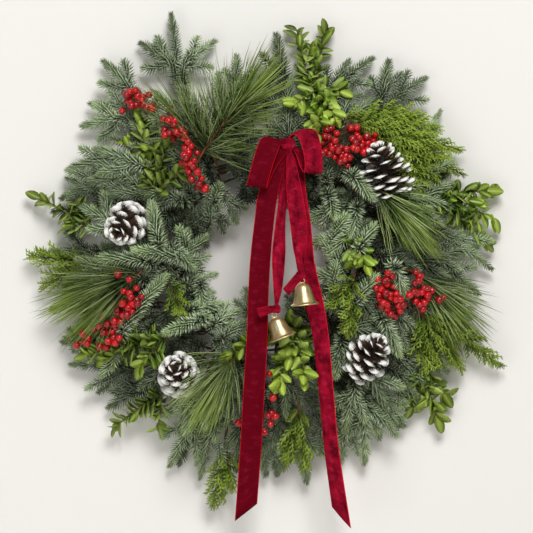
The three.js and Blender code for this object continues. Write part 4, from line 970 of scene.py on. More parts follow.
def pick_twigs(hub, tips, radii, leafy_from, grow_size=1.0, bow=4.0, shape=None):
    """A stem from the rails up to a hub, and a shoot from there to each tip."""
    centre = in_mound(*hub)
    foot = foot_below(hub[0], hub[1], PICK_FOOT)
    lower = foot.lerp(centre, 0.55) + FRONT * 5 * MM
    twigs = []
    for tip in tips:
        end = in_mound(*tip)
        middle = centre.lerp(end, 0.5) + (FRONT * 0.6 + Vector((0, 0, 0.8))) * bow * MM
        twigs.append(twig([foot, lower, centre, middle, end], radii, leafy_from, grow_size,
                          shape=shape))
    return twigs


print("picks stand", PICK_FOOT, "and", HEAVY_PICK_FOOT, "mm from the wall")

# %% [markdown]
# Pine carries long bending needles. Some shoots spread them wide in a fan, others bring them
# together in a tuft, so the two kinds are grown with a different lean.

# %% Pine
PINE_PICKS = {  # lean of the needles, then hub, tips, length that bears needles, their size
    "fans": [(80, 16), {
        "pine_top": [(-82, 124, 0.8), [(-20, 210, 1.05)], 92, 0.95],
        "pine_top_left": [(-62, 134, 0.6), [(-104, 182, 0.84)], 44, 0.85]}],
    "tufts": [(40, 8), {
        "pine_left": [(-150, -12, 0.75), [(-214, -36, 0.95), (-196, -52, 0.85)], 62, 1.0],
        "pine_right_mid": [(130, 100, 0.85), [(178, 56, 1.05)], 54, 0.92],
        "pine_right_low": [(190, -12, 0.75), [(232, -50, 0.88), (218, -60, 0.8)], 48, 1.0],
        "pine_bottom_left": [(-30, -112, 0.85), [(-54, -148, 1.0)], 42, 1.0]}],
}
for kind, (lean, picks) in PINE_PICKS.items():
    twigs = [w for hub, tips, leafy, size in picks.values()
             for w in pick_twigs(hub, tips, [2.2, 1.8, 1.4], -leafy, size)]
    pine = grow(f"pine_{kind}", twigs, PINE_NEEDLE, PINE, spacing=0.26, lean=lean, wander=2.2,
                spread=0.28, forward=-0.1, size_spread=0.16, sides=6, seed=60)
    settle(pine, "pine", list(picks))

# %% [markdown]
# A cedar frond is flat. Its branchlets leave the stem left and right in turn, and each is itself a
# row of tiny overlapping scales, so one lobed branchlet is drawn once and turned half a circle each
# step. The branchlets are longest a little before the middle of the frond.

# %% Cedar
SPIKE_BACK, SPIKE_RIDGE, SPIKE_TOP = -0.35, 0.45, 0.55   # depths of a spike's flat back and ridge


def spike(base, tip, width):
    """Two three-cornered rows and a tip, from one place to another in a flat branchlet."""
    (bx, bz), (tx, tz) = base, tip
    run = math.hypot(tx - bx, tz - bz)
    ux, uz = (tz - bz) / run * width / 2, -(tx - bx) / run * width / 2
    mx, mz = bx + (tx - bx) * 0.6, bz + (tz - bz) * 0.6
    vx, vz = ux * 1.25, uz * 1.25
    return [(bx - ux, SPIKE_BACK, bz - uz), (bx + ux, SPIKE_BACK, bz + uz), (bx, SPIKE_RIDGE, bz),
            (mx - vx, SPIKE_BACK, mz - vz), (mx + vx, SPIKE_BACK, mz + vz), (mx, SPIKE_TOP, mz),
            (tx, 0, tz)]


def lobed_branchlet(length, lobes):
    """A flat branchlet: a scaly stem with short side lobes left and right in turn."""
    spikes = [spike((0, 0), (1.2, length), 1.5)]
    for i in range(lobes):
        share = 0.16 + 0.66 * i / (lobes - 1)
        hand = 1 if i % 2 else -1
        reach = length * (0.3 - 0.17 * share)
        spikes.append(spike((0.8 * share, length * share),
                            (hand * reach * 0.6, length * share + reach * 0.9), 1.15))
    faces = [face for i, one in enumerate(spikes) for face in skin(3, 2, i * len(one))]
    return leaf_object("cedar_branchlet", sum(spikes, []), faces, length)


def frond(share):
    return 0.35 + 1.0 * math.sin(math.pi * min(1.0, 0.12 + 0.86 * share)) ** 0.8


CEDAR_BRANCHLET = lobed_branchlet(22, 7)
CEDAR_PICKS = [  # hub and tips (x, z, layer)
    [(100, 176, 0.8), [(172, 192, 0.9), (222, 168, 0.85), (250, 142, 0.75), (252, 112, 0.7)]],
    [(112, 172, 1.0), [(200, 182, 0.95), (236, 130, 0.95), (230, 92, 0.85), (196, 152, 1.04)]],
    [(150, 160, 1.02), [(206, 86, 0.95), (186, 104, 1.04), (222, 116, 0.98)]],
    [(196, -62, 0.8), [(202, -136, 0.85), (252, -134, 0.6), (300, -130, 0.5), (224, -128, 0.75)]],
    [(-205, -4, 0.6), [(-292, 6, 0.6), (-276, -28, 0.6), (-246, -34, 0.7)]],
    [(-48, -230, 0.6), [(-62, -306, 0.6), (-38, -284, 0.8)]],
    [(46, -178, 0.85), [(30, -250, 0.85), (52, -260, 0.9)]],
    [(116, -15, 0.9), [(88, -54, 1.05), (108, -88, 1.0)]],
    [(-118, -24, 0.9), [(-103, -60, 1.05)]],
]
cedar_twigs = [w for hub, tips in CEDAR_PICKS
               for w in pick_twigs(hub, tips, [1.8, 1.3, 0.6], 2.15, shape=frond)]
cedar = grow("cedar_fronds", cedar_twigs, CEDAR_BRANCHLET, CEDAR, spacing=1.7, lean=(50, 30),
             turn=math.pi, wander=0.18, spread=0.1, flatness=0.85, face=1.0, size_spread=0.18,
             seed=70)
settle(cedar, "cedar", nodes_of("cedar_"))

# %% [markdown]
# Boxwood leaves are oval and folded a little along the midrib. They stand in pairs, and each pair
# is turned a quarter circle from the last. The tree sets one leaf at a time, so it turns each by
# half a circle and an eighth, and every second leaf lies a quarter further.

# %% Boxwood
LEAF_ROWS = [(0.0, 0.10), (0.12, 0.55), (0.32, 0.95), (0.55, 1.0), (0.78, 0.76), (0.93, 0.4)]
LEAF_THICKNESS = 0.3


def oval_leaf(name, length, width, fold, curl):
    """A leaf with a midrib: an upper and a lower skin that meet all round its edge."""
    points = []
    for share, fullness in LEAF_ROWS:
        z = length * share
        y = -curl * share ** 2
        half = width / 2 * fullness
        lift = fold * fullness
        points += [(-half, y + lift, z), (0, y + LEAF_THICKNESS * 0.4, z), (half, y + lift, z),
                   (0, y - LEAF_THICKNESS, z)]
    points.append((0, -curl, length))
    made = leaf_object(name, points, skin(4, len(LEAF_ROWS)), length)
    store_values(made.data, "rib", [1.0 if p[0] == 0 else 0.0 for p in points])
    return made


BOX_LEAF = oval_leaf("boxwood_leaf", 18.5, 10.6, 1.1, 2.6)
BOXWOOD_PICKS = [  # hub and tips (x, z, layer)
    [(60, 205, 0.8), [(44, 292, 0.45), (80, 290, 0.5), (64, 270, 0.6)]],
    [(72, 215, 0.85), [(68, 160, 1.08), (40, 196, 1.05), (92, 178, 1.0), (100, 214, 0.9)]],
    [(-134, 84, 0.75), [(-155, 190, 0.75), (-118, 162, 0.8), (-142, 140, 0.85), (-98, 118, 0.8),
                        (-170, 150, 0.75)]],
    [(-215, 41, 0.7), [(-280, 80, 0.6), (-246, 44, 0.7), (-236, 78, 0.65)]],
    [(215, 80, 0.75), [(285, 90, 0.65), (274, 74, 0.8), (292, 56, 0.7), (272, 50, 0.85),
                       (284, 24, 0.6)]],
    [(-119, -95, 0.85), [(-226, -118, 0.85), (-190, -104, 0.95), (-200, -124, 0.9),
                         (-150, -128, 1.05)]],
    [(-125, -165, 0.8), [(-184, -207, 0.7), (-131, -208, 0.9), (-156, -186, 0.85)]],
    [(42, -80, 0.85), [(20, -152, 1.08), (52, -146, 1.08), (-36, -112, 1.0), (36, -116, 1.1)]],
    [(195, -125, 0.6), [(222, -198, 0.6), (200, -170, 0.7), (190, -188, 0.6), (214, -178, 0.7),
                        (230, -168, 0.5)]],
    [(112, 28, 0.9), [(130, -4, 1.1), (112, 2, 1.05)]],
]
box_twigs = [w for hub, tips in BOXWOOD_PICKS
             for w in pick_twigs(hub, tips, [1.8, 1.4, 0.8], 2.1, bow=3)]
boxwood = grow("boxwood_sprays", box_twigs, BOX_LEAF, BOXWOOD, spacing=2.7, lean=(64, 38),
               turn=math.radians(225), wander=1.3, spread=0.55, forward=0.1, face=0.55,
               size_spread=0.3, seed=80)
settle(boxwood, "boxwood", nodes_of("boxwood_"))

# %% [markdown]
# ## Red berries
# Fresh berries have a thin shiny skin with a dark spot at the end where the flower was. The spot is
# painted by how far along the berry a point lies, and each berry is a little lighter or darker.

# %% The berries' skin
def berry_finish():
    f = Finish("berry_skin", 0.22, Specular_IOR_Level=0.5, Coat_Weight=0.25, Coat_Roughness=0.15)
    along, tint, wood = f.attributes("along", "tint", "wood")
    red = f.ramp(tint, [(0.0, paint(136, 2, 14)), (0.5, paint(182, 6, 20)),
                        (1.0, paint(214, 16, 28))])
    red = f.mix(f.range(along, 0.93, 0.985), red, paint(48, 20, 14))
    red = f.mix(f.range(f.noise(160), 0.45, 0.7, 0.0, 0.35), red, paint(120, 8, 10))
    f.colour(f.mix(wood, red, f.mix(f.noise(200), paint(96, 48, 32), paint(70, 52, 32))))
    f.rough(f.range(f.noise(220), 0.3, 0.7, 0.16, 0.34))
    f.bump(f.noise(700, 2.0), 0.0003, 0.3)
    return f.material


def berry_object(radius):
    """A ball that stands on its stalk, with a dimple at its far end."""
    mesh = bpy.data.meshes.new("berry")
    ball = bmesh.new()
    bmesh.ops.create_uvsphere(ball, u_segments=14, v_segments=9, radius=radius)
    for v in ball.verts:
        if v.co.z / radius > 0.99:
            v.co.z -= radius * 0.18
        v.co.z += radius
    ball.to_mesh(mesh)
    ball.free()
    store_along(mesh, 2 * radius)
    return show("berry", mesh)


BERRY_SKIN = berry_finish()
BERRY = berry_object(4.7 * MM)
print("one berry:", len(BERRY.data.polygons), "faces")

# %% [markdown]
# Each berry sits on its own thin stalk at the side of a twig. The second tree puts one berry at the
# end of every stalk, and none on the twigs, whose points ask for a berry of size 0.

# %% The tree that puts berries on stalks
def berry_tree():
    t = Tree("berries_on_stalks", {"Berry": "Object", "Size": "Float", "Size spread": "Float",
                                   "Seed": "Int", "Finish": "Material"})
    given = t.given
    stalks = t.node("GeometryNodeMeshToCurve", {"Mesh": given["Geometry"]}).outputs[0]
    bark = bark_along(t, stalks, 5)
    end = t.node("GeometryNodeCurveEndpointSelection", {"Start Size": 0, "End Size": 1}).outputs[0]
    wanted = t.maths("GREATER_THAN", t.named("grow"), 0.0)
    bears = t.node("FunctionNodeBooleanMath", {0: end, 1: wanted}, operation="AND").outputs[0]
    turned = t.node("FunctionNodeAxesToRotation", {
        "Primary Axis": t.node("GeometryNodeInputTangent").outputs[0],
        "Secondary Axis": (0.1, -1, 0.2)}, primary_axis="Z", secondary_axis="Y").outputs[0]
    size = t.maths("ADD", 1.0, t.wobble("Size spread"))
    size = t.maths("MULTIPLY", size, given["Size"])
    berries = set_on(t, stalks, bears, given["Berry"], turned, size, 7)
    return hand_out(t, joined(t, bark, berries))


BERRIED = berry_tree()
print("tree:", BERRIED.name, len(BERRIED.nodes), "nodes")

# %% [markdown]
# The berries are the brightest spots on the wreath, so each is placed one by one. A few more sit half
# hidden behind them. A stalk runs to each from the nearest point of its twig.

# %% Where the berries sit
BERRY_TWIGS = {  # points of each twig, then its berries, all (x, z)
    "upper_left": [
        [(-146, 186), (-154, 204), (-176, 218)], [
            (-166, 216), (-168, 210), (-158, 209), (-150, 210), (-144, 211), (-165, 202),
            (-158, 199), (-152, 204), (-163, 196), (-146, 195), (-141, 197), (-139, 192),
            (-176, 191), (-171, 212), (-160, 215), (-148, 200)]],
    "left_chain": [
        [(-118, 186), (-98, 165), (-92, 135), (-74, 96)], [
            (-117, 186), (-112, 184), (-122, 180), (-116, 178), (-109, 176), (-121, 167),
            (-115, 162), (-120, 160), (-100, 167), (-95, 165), (-92, 159), (-98, 156), (-103, 161),
            (-98, 146), (-92, 152), (-95, 142), (-90, 138), (-96, 135), (-92, 131), (-85, 128),
            (-89, 123), (-95, 125), (-85, 120), (-91, 114), (-88, 105), (-81, 112), (-75, 104),
            (-70, 96), (-74, 94), (-78, 98), (-94, 129), (-110, 171), (-106, 164), (-88, 143)]],
    "left": [
        [(-166, -24), (-168, -62), (-190, -86), (-226, -98)], [
            (-178, -16), (-165, -22), (-157, -33), (-173, -38), (-165, -38), (-151, -43),
            (-168, -46), (-173, -51), (-165, -52), (-178, -58), (-168, -58), (-160, -54),
            (-156, -51), (-174, -66), (-180, -66), (-171, -69), (-184, -72), (-176, -73),
            (-192, -77), (-199, -79), (-184, -79), (-204, -82), (-209, -85), (-195, -85),
            (-188, -86), (-181, -85), (-199, -89), (-224, -91), (-218, -94), (-226, -98),
            (-219, -100), (-233, -103), (-187, -93), (-179, -94), (-193, -99), (-196, -105),
            (-204, -104), (-184, -99), (-168, -64), (-162, -61), (-163, -44)]],
    "top_right": [
        [(80, 146), (108, 162), (142, 150)], [
            (82, 163), (78, 156), (84, 154), (90, 152), (78, 148), (85, 146), (92, 146), (95, 159),
            (80, 140), (87, 141), (76, 137), (93, 139), (100, 137), (98, 144), (104, 141),
            (109, 166), (112, 155), (118, 161), (121, 155), (116, 149), (126, 152), (131, 156),
            (133, 150), (138, 153), (124, 146), (132, 143), (139, 148), (142, 159), (113, 143),
            (104, 134), (96, 126), (102, 128), (90, 132), (98, 133), (108, 132), (84, 135),
            (128, 139), (136, 141), (145, 151), (120, 166), (118, 142)]],
    "right": [
        [(154, -14), (152, -48), (174, -56), (220, -40)], [
            (157, -13), (162, -18), (145, -22), (152, -23), (155, -19), (144, -31), (150, -35),
            (157, -31), (163, -32), (154, -39), (148, -41), (160, -39), (167, -39), (159, -46),
            (166, -47), (173, -48), (150, -56), (157, -52), (162, -64), (172, -62), (175, -56),
            (168, -54), (152, -49), (193, -14), (198, -20), (191, -27), (196, -25), (185, -42),
            (195, -40), (202, -33), (207, -35), (213, -35), (200, -39), (206, -41), (194, -46),
            (209, -46), (200, -58), (190, -38), (222, -45), (228, -43), (203, -48), (198, -52)]],
    "bottom": [
        [(10, -142), (10, -190), (-26, -206)], [
            (10, -142), (10, -185), (6, -191), (16, -191), (11, -202), (2, -212), (-28, -202),
            (14, -168)]],
}
print("berries placed by hand:", sum(len(berries) for _, berries in BERRY_TWIGS.values()))

# %% [markdown]
# A pick of berries stands between the rails like any other. Its stem comes first, and then the
# stalks, each of which ends just inside its berry.

# %% Grow the berries
BERRY_EXTRA = 0.15         # share of the berries with another one half hidden behind it
BERRY_LAYER = 0.85
STEM_RISE = 6              # the twigs run this far in front of that layer
BERRY_RISE = (10, 20)      # the listed berries lie this far in front of it
HIDDEN_RISE = (0, 12)      # and the others this far


def berry_place(x, z, rise):
    return in_mound(x, z, BERRY_LAYER) + FRONT * rise * MM


def berry_twigs(seed):
    draw = random.Random(seed)
    twigs = []
    for stem, berries in BERRY_TWIGS.values():
        spots = [berry_place(x, z, STEM_RISE) for x, z in stem]
        foot = foot_below(*stem[0], HEAVY_PICK_FOOT)
        twigs.append(twig([foot, *spots], [1.5, 0.9], 0, 0))
        line, _ = curve_through(spots, 8)
        extra = [(x + draw.uniform(-8, 8), z + draw.uniform(-8, 8))
                 for x, z in berries if draw.random() < BERRY_EXTRA]
        for n, (x, z) in enumerate(berries + extra):
            rise = draw.uniform(*(BERRY_RISE if n < len(berries) else HIDDEN_RISE))
            place = berry_place(x, z, rise)
            near = min(line, key=lambda p: (p - place).length)
            top = place - (place - near).normalized() * 3 * MM
            bend = Vector((draw.uniform(-1, 1), 0, draw.uniform(-1, 2))) * MM
            twigs.append(twig([near, near.lerp(top, 0.5) + bend, top], [0.6, 0.45], 0, 1, steps=3))
    return twigs


berries = run_tree(show("berries", rows_mesh("berries", berry_twigs(4))), BERRIED, {
    "Berry": BERRY, "Size": 1.0, "Size spread": 0.14, "Seed": 5, "Finish": BERRY_SKIN})
settle(berries, "berry", nodes_of("berries_"))

# %% [markdown]
# ## Cones
# The scales of a pine cone climb its core in a spiral, a golden angle apart. They stand wide open
# round the middle and close towards the top. Only the ends of the scales are whitened, so white and
# brown meet along a ragged edge that a pattern pushes up and down the scale.

# %% The cones' finish
def cone_finish():
    f = Finish("cone_scales", 0.75)
    along, wood = f.attributes("along", "wood")
    brown = f.mix(f.noise(240), paint(44, 26, 16), paint(88, 58, 38))
    edge = f.maths("ADD", along, f.range(f.noise(420, 4.0), 0.3, 0.7, -0.12, 0.12))
    white = f.mix(f.noise(380), paint(246, 245, 240), paint(255, 255, 252))
    colour = f.mix(f.range(edge, 0.7, 0.78), brown, white)
    # painted shade: the core and the pick are near black, for the deep gaps between the scales
    dark = f.mix(f.noise(300), paint(16, 10, 7), paint(34, 22, 14))
    f.colour(f.mix(wood, colour, dark))
    f.rough(f.range(f.noise(200), 0.3, 0.7, 0.66, 0.86))
    f.bump(f.noise(900, 3.0), 0.0006, 0.5)
    return f.material


CONE = cone_finish()
print("finish:", CONE.name)

# %% [markdown]
# A scale is a narrow stalk that widens into a thick woody end with a low point on its outer face.
# The leafy tree can set scales on a cone's core as it sets leaves on a twig, so it is used again.

# %% Cones
SCALE_ROWS = [(0.0, 0.25, 0.5), (0.45, 0.6, 0.7), (0.8, 1.0, 1.3), (0.94, 0.8, 1.9)]


def cone_scale(length, width):
    points = []
    for share, fullness, thick in SCALE_ROWS:
        z, half = length * share, width / 2 * fullness
        y = 1.4 * share ** 2
        points += [(-half, y, z), (0, y - thick * 0.75, z + share * 0.8), (half, y, z),
                   (0, y + thick * 0.5, z)]
    points.append((0, 1.0, length))
    return leaf_object("cone_scale", points, skin(4, len(SCALE_ROWS)), length)


def cone_shape(share):
    return 0.42 + 0.7 * math.sin(math.pi * (0.2 + 0.74 * share)) ** 0.9


SCALE = cone_scale(22, 14)
CONE_LENGTH = 56
CONES = {  # middle (x, z, depth), the way its tip points (x, z, depth), and its size
    "left": [(-171, 46, 78), (-0.35, -0.35, 0.85), 1.15],
    "right": [(154, 114, 80), (-0.3, 0.9, 0.3), 1.32],
    "lower_left": [(-105, -139, 78), (-0.1, 0.3, 0.95), 1.15],
    "lower_right": [(132, -118, 78), (0.45, 0.5, 0.6), 1.2],
}
for k, (name, (middle, axis, size)) in enumerate(CONES.items()):
    axis = Vector((axis[0], -axis[2], axis[1])).normalized()
    centre = at(*middle)
    half = CONE_LENGTH / 2 * MM * size ** 0.5
    low, high = centre - axis * (half - 2 * MM), centre + axis * (half - 8 * MM)
    foot = foot_below(middle[0], middle[1], HEAVY_PICK_FOOT)
    core = twig([low, centre, high], [6, 8, 3], 0, shape=cone_shape)
    pick = twig([foot, foot.lerp(low, 0.6) + FRONT * 4 * MM, low + axis * 3 * MM], [2, 2], 2, 0)
    pick["reach"] = [-1] * len(pick["reach"])
    piece = grow(f"cone_{name}_scales", [core, pick], SCALE, CONE, spacing=1.15, lean=(98, 26),
                 wander=0.1, spread=0.06, size=size, size_spread=0.08, sides=8, seed=90 + k)
    settle(piece, "cone", [f"cone_{name}"])

# %% [markdown]
# ## Velvet ribbon
# The bow is one cut of 25 mm velvet ribbon with a thin satin edge. Velvet looks dark where its pile
# leans towards you and light where it leans away; here that sheen is painted into the colour, as
# lighter streaks as long as a brush stroke and pink patches of painted highlight. The streaks and
# the edge follow the ribbon's own UV map, which runs across it from 0 to 1 and along it in metres,
# so the patterns are stretched across.

# %% Velvet and satin
SATIN_FROM, SATIN_FULL = 0.925, 0.94   # share of the half width where the satin edge starts


def velvet_finish(name, deep, light, edge, lift):
    f = Finish(name, 0.82, Sheen_Weight=0.12, Sheen_Roughness=0.3, Sheen_Tint=paint(200, 10, 40),
               Specular_IOR_Level=0.06)
    where = f.node("UVMap", uv_map="UVMap").outputs[0]
    across = f.node("SeparateXYZ", {"Vector": where}).outputs[0]
    brushed_sheen = f.noise(46, 4.0, 0.6, (0.03, 1, 1), where)
    pile = f.noise(520, 2.0, 0.55, (0.012, 1, 1), where)
    crushed_highlight = f.noise(110, 4.0, 0.7, (0.016, 1, 1), where)
    # painted sheen: lighter streaks where the pile catches the light, lifted further on the lit velvet
    colour = f.mix(f.range(brushed_sheen, 0.36, 0.62, 0.0, lift), deep, light)
    colour = f.mix(f.range(pile, 0.35, 0.65, 0.0, 0.16), colour, paint(60, 0, 10))
    # painted highlight: pink patches where the pile shines
    colour = f.mix(f.range(crushed_highlight, 0.52, 0.72, 0.0, lift * 0.42), colour, paint(222, 52, 92))
    from_middle = f.maths("ABSOLUTE", f.maths("SUBTRACT", across, 0.5))
    to_edge = f.maths("MULTIPLY", from_middle, 2.0)
    satin = f.range(to_edge, SATIN_FROM, SATIN_FULL)
    f.colour(f.mix(satin, colour, edge))
    f.rough(f.range(to_edge, SATIN_FROM, SATIN_FULL, 0.85, 0.4))
    f.bump(f.maths("ADD", pile, f.maths("MULTIPLY", satin, -0.6)), 0.0005, 0.35)
    return f.material


# one velvet in two copies: a painted-shade copy for the shaded ribbons, and a lit copy with lighter colours and more
# painted sheen
VELVET = velvet_finish("velvet_deep", paint(94, 0, 17), paint(118, 0, 24), paint(186, 12, 26),
                       lift=0.32)
VELVET_LIT = velvet_finish("velvet_light", paint(84, 0, 16), paint(172, 14, 48),
                           paint(204, 24, 40), lift=0.85)
print("ribbon finishes:", VELVET.name, VELVET_LIT.name)

# %% [markdown]
# A cloth simulation could hang the ribbon, but it is easier to steer as a strip between two smooth
# edge lines, because each tail has a known twist and lean. The strip is closed: a front and a back
# skin, two long edges and two cut ends. It cups a little across, and narrow ribbons ripple.

# %% Strips of ribbon
RIBBON_WIDTH = 25
RIBBON_THICKNESS = 0.9
FLUTES = 3                 # ripples side by side across a ribbon
FLUTE_DRIFT = 14           # how fast they wander sideways along it


def smoothed(mesh, finish):
    mesh.polygons.foreach_set("use_smooth", [True] * len(mesh.polygons))
    mesh.materials.append(finish)
    return mesh


def strip_faces(rows, across):
    """Faces of a closed strip whose back skin's points follow those of its front skin."""
    wide = across + 1
    count = rows * wide
    faces = []
    for i in range(rows - 1):
        for j in range(across):
            a = i * wide + j
            faces.append((a, a + 1, a + wide + 1, a + wide))
            faces.append((count + a + wide, count + a + wide + 1, count + a + 1, count + a))
        for a, step in ((i * wide, 1), (i * wide + across, -1)):
            faces.append((a, a + wide, count + a + wide, count + a)[::step])
    for j in range(across):
        faces.append((j, count + j, count + j + 1, j + 1))
        a = (rows - 1) * wide + j
        faces.append((a, a + 1, count + a + 1, count + a))
    return faces


def strip_mesh(name, stations, cup, ripple, finish, across=10, steps=7):
    """A ribbon between two edge lines, and its length; cup and ripple are in millimetres."""
    left, right = (curve_through([at(*s[k]) for s in stations], steps)[0] for k in (0, 1))
    run = [0.0]
    for a, b, c, d in zip(left, right, left[1:], right[1:]):
        run.append(run[-1] + ((c + d) / 2 - (a + b) / 2).length)
    rows = len(left)
    skins = ([], [])
    for i in range(rows):
        before, after = max(0, i - 1), min(rows - 1, i + 1)
        ahead = (left[after] + right[after] - left[before] - right[before]).normalized()
        side = right[i] - left[i]
        normal = ahead.cross(side.normalized()).normalized()
        for j in range(across + 1):
            u = j / across
            wave = cup * (1 - (2 * u - 1) ** 2)
            flute = math.sin(2 * math.pi * FLUTES * u + FLUTE_DRIFT * run[i])
            wave += ripple * flute * (1 - abs(2 * u - 1) ** 6)
            point = left[i] + side * u + normal * wave * MM
            skins[0].append(point + normal * RIBBON_THICKNESS / 2 * MM)
            skins[1].append(point - normal * RIBBON_THICKNESS / 2 * MM)
    faces = strip_faces(rows, across)
    corners = [c % len(skins[0]) for face in faces for c in face]
    uvs = [(c % (across + 1) / across, run[c // (across + 1)]) for c in corners]
    mesh = bpy.data.meshes.new(name)
    mesh.from_pydata([p[:] for skin_points in skins for p in skin_points], [], faces)
    mesh.uv_layers.new(name="UVMap").data.foreach_set("uv", np.array(uvs, np.float32).ravel())
    face_outwards(mesh)
    return smoothed(mesh, finish), run[-1]


# %% [markdown]
# Each ribbon is given by stations from the knot to its end: the places of its left and its right
# edge. The loops start and end at the knot and turn over at the bottom. The left tail and loop lie
# in the shade of the rest, so they get the deeper velvet.

# %% Where the ribbons run
STRIPS = {
    "ribbon_tail_left": [
        [(27, 141, 105.5), (35, 141, 105.5)], [(11, 121, 106), (29, 121, 106)],
        [(-4, 87.5, 106), (20.5, 87.5, 106)], [(-10, 46, 105), (14.5, 46, 105)],
        [(-15, 0, 104), (10.5, 0, 104)], [(-17.5, -47.5, 103), (8, -47.5, 103)],
        [(-19, -91, 103), (7, -91, 103)], [(-24, -172.5, 102), (2.5, -172.5, 102)],
        [(-27.5, -235, 92), (-1, -235, 92)], [(-34, -324, 80), (-6, -302, 82)]],
    "ribbon_tail_right": [
        [(31, 141, 99), (39, 141, 99)], [(34, 121, 98), (51, 121, 100)],
        [(35, 87.5, 92), (55, 87.5, 98)], [(37, 46, 89), (61, 46, 97)],
        [(42.5, 0, 88), (65.5, 0, 97)], [(52.5, -47.5, 90), (76, -47.5, 99)],
        [(63, -91, 94), (83, -91, 103)], [(72, -172.5, 95), (90, -172.5, 106)],
        [(78, -235, 86), (96, -235, 100)], [(87.5, -306, 76), (111, -332.5, 86)]],
    "bell_ribbon_left": [
        [(29, 141, 102.2), (35, 141, 102.2)], [(22, 121, 101.6), (33, 121, 101.6)],
        [(21.5, 87.5, 101), (32, 87.5, 101)], [(16.5, 46, 108), (29, 46, 104)],
        [(12.5, 9, 113), (29, 9, 108)], [(14, -29, 115), (25.5, -29, 112)],
        [(15.5, -50, 116), (21, -50, 115)], [(16, -58, 116), (19, -58, 116)]],
    "bell_ribbon_right": [
        [(31, 141, 109), (36, 141, 109)], [(30, 121, 111), (42.5, 121, 111)],
        [(30.5, 87.5, 113), (50, 87.5, 112)], [(35, 46, 115), (56, 46, 114)],
        [(39, 15, 118), (55, 15, 117)], [(43, 0, 120), (52.5, 0, 119)],
        [(46, -12, 121), (51, -12, 121)], [(47, -16, 121), (49.5, -16, 121)]],
    "bow_loop_left": [
        [(26, 149, 108), (36, 147, 108)], [(10, 155, 112), (24, 145, 113)],
        [(-2, 152, 116), (21, 140, 118)], [(-10, 130, 124), (15, 124, 126)],
        [(-16, 108, 127), (9, 104, 129)], [(-19, 96, 122), (6, 92, 124)],
        [(-18, 99, 115), (8, 96, 116)], [(-6, 120, 111), (17, 116, 112)],
        [(12, 140, 108.6), (27, 131, 109.5)], [(26, 149, 105), (34, 143, 105)]],
    "bow_loop_right": [
        [(31, 151, 106), (36, 153, 103)], [(37, 158, 108), (51, 165, 99)],
        [(44, 156, 116), (67, 163, 109)], [(50, 141, 124), (73, 145, 117)],
        [(53, 124, 126), (75, 125, 119)], [(52, 112, 121), (74, 110, 114)],
        [(47, 119, 111), (67, 118, 105)], [(41, 136, 106), (53, 137, 101)],
        [(33, 145, 105), (38, 145, 102.5)]],
}
SHAPES = {  # cup, ripple, finish
    "ribbon_tail_left": (0.6, 0.0, VELVET), "ribbon_tail_right": (0.9, 0.0, VELVET_LIT),
    "bell_ribbon_left": (1.6, 0.7, VELVET_LIT), "bell_ribbon_right": (1.8, 0.8, VELVET_LIT),
    "bow_loop_left": (1.0, 0.5, VELVET), "bow_loop_right": (1.2, 0.5, VELVET_LIT),
}
ribbons = {}
for name, stations in STRIPS.items():
    mesh, length = strip_mesh(name, stations, *SHAPES[name], steps=7 if "tail" in name else 9)
    piece = show(name + "_velvet", mesh)
    ribbons[name] = (settle(piece, "ribbon", [name]), length)
    print("   length", round(length / MM), "mm")

# %% [markdown]
# A knot is the same ribbon wrapped tight round itself. What shows is a rounded body with folds that
# run over it, so a ball is pressed into that shape: squarer than a ball, with a waist and pleats.

# %% A knot
WAIST, PLEAT_DEPTH, SQUARENESS = 0.10, 0.07, 2.6


def knot_mesh(name, centre, radii, pleats, seed):
    ball = bmesh.new()
    bmesh.ops.create_uvsphere(ball, u_segments=48, v_segments=28, radius=1)
    shift = random.Random(seed).uniform(0, 6)
    for v in ball.verts:
        x, y, z = v.co
        waist = 1 - WAIST * math.exp(-(x / 0.35) ** 2)
        fold = 1 + PLEAT_DEPTH * math.sin(pleats * x * 3.1 + 2.2 * z + shift) * (1 - abs(z) ** 4)
        square = sum(abs(c) ** SQUARENESS for c in (x, y, z)) ** (-1 / SQUARENESS)
        pressed = Vector((x * radii[0], y * radii[1] * waist, z * radii[2] * waist))
        v.co = pressed * fold * square * 0.92
    mesh = bpy.data.meshes.new(name)
    ball.to_mesh(mesh)
    ball.free()
    mesh.transform(Matrix.Diagonal((MM, MM, MM, 1)))
    mesh.transform(Matrix.Translation(at(*centre)))
    uvs = mesh.uv_layers.new(name="UVMap")
    for loop in mesh.loops:
        p = (mesh.vertices[loop.vertex_index].co - at(*centre)) / MM
        uvs.data[loop.index].uv = (0.5 + 0.44 * p.x / radii[0], p.z * MM)
    return smoothed(mesh, VELVET_LIT)


bow_wrap = knot_mesh("bow_knot_wrap", (32, 147, 104), (11, 8, 9), pleats=3, seed=1)
bow_knot = settle(show("bow_knot_wrap", bow_wrap), "ribbon", ["bow_knot"])

# %% [markdown]
# Each bell hangs from a smaller knot, and the short end of the ribbon sticks out beside it.

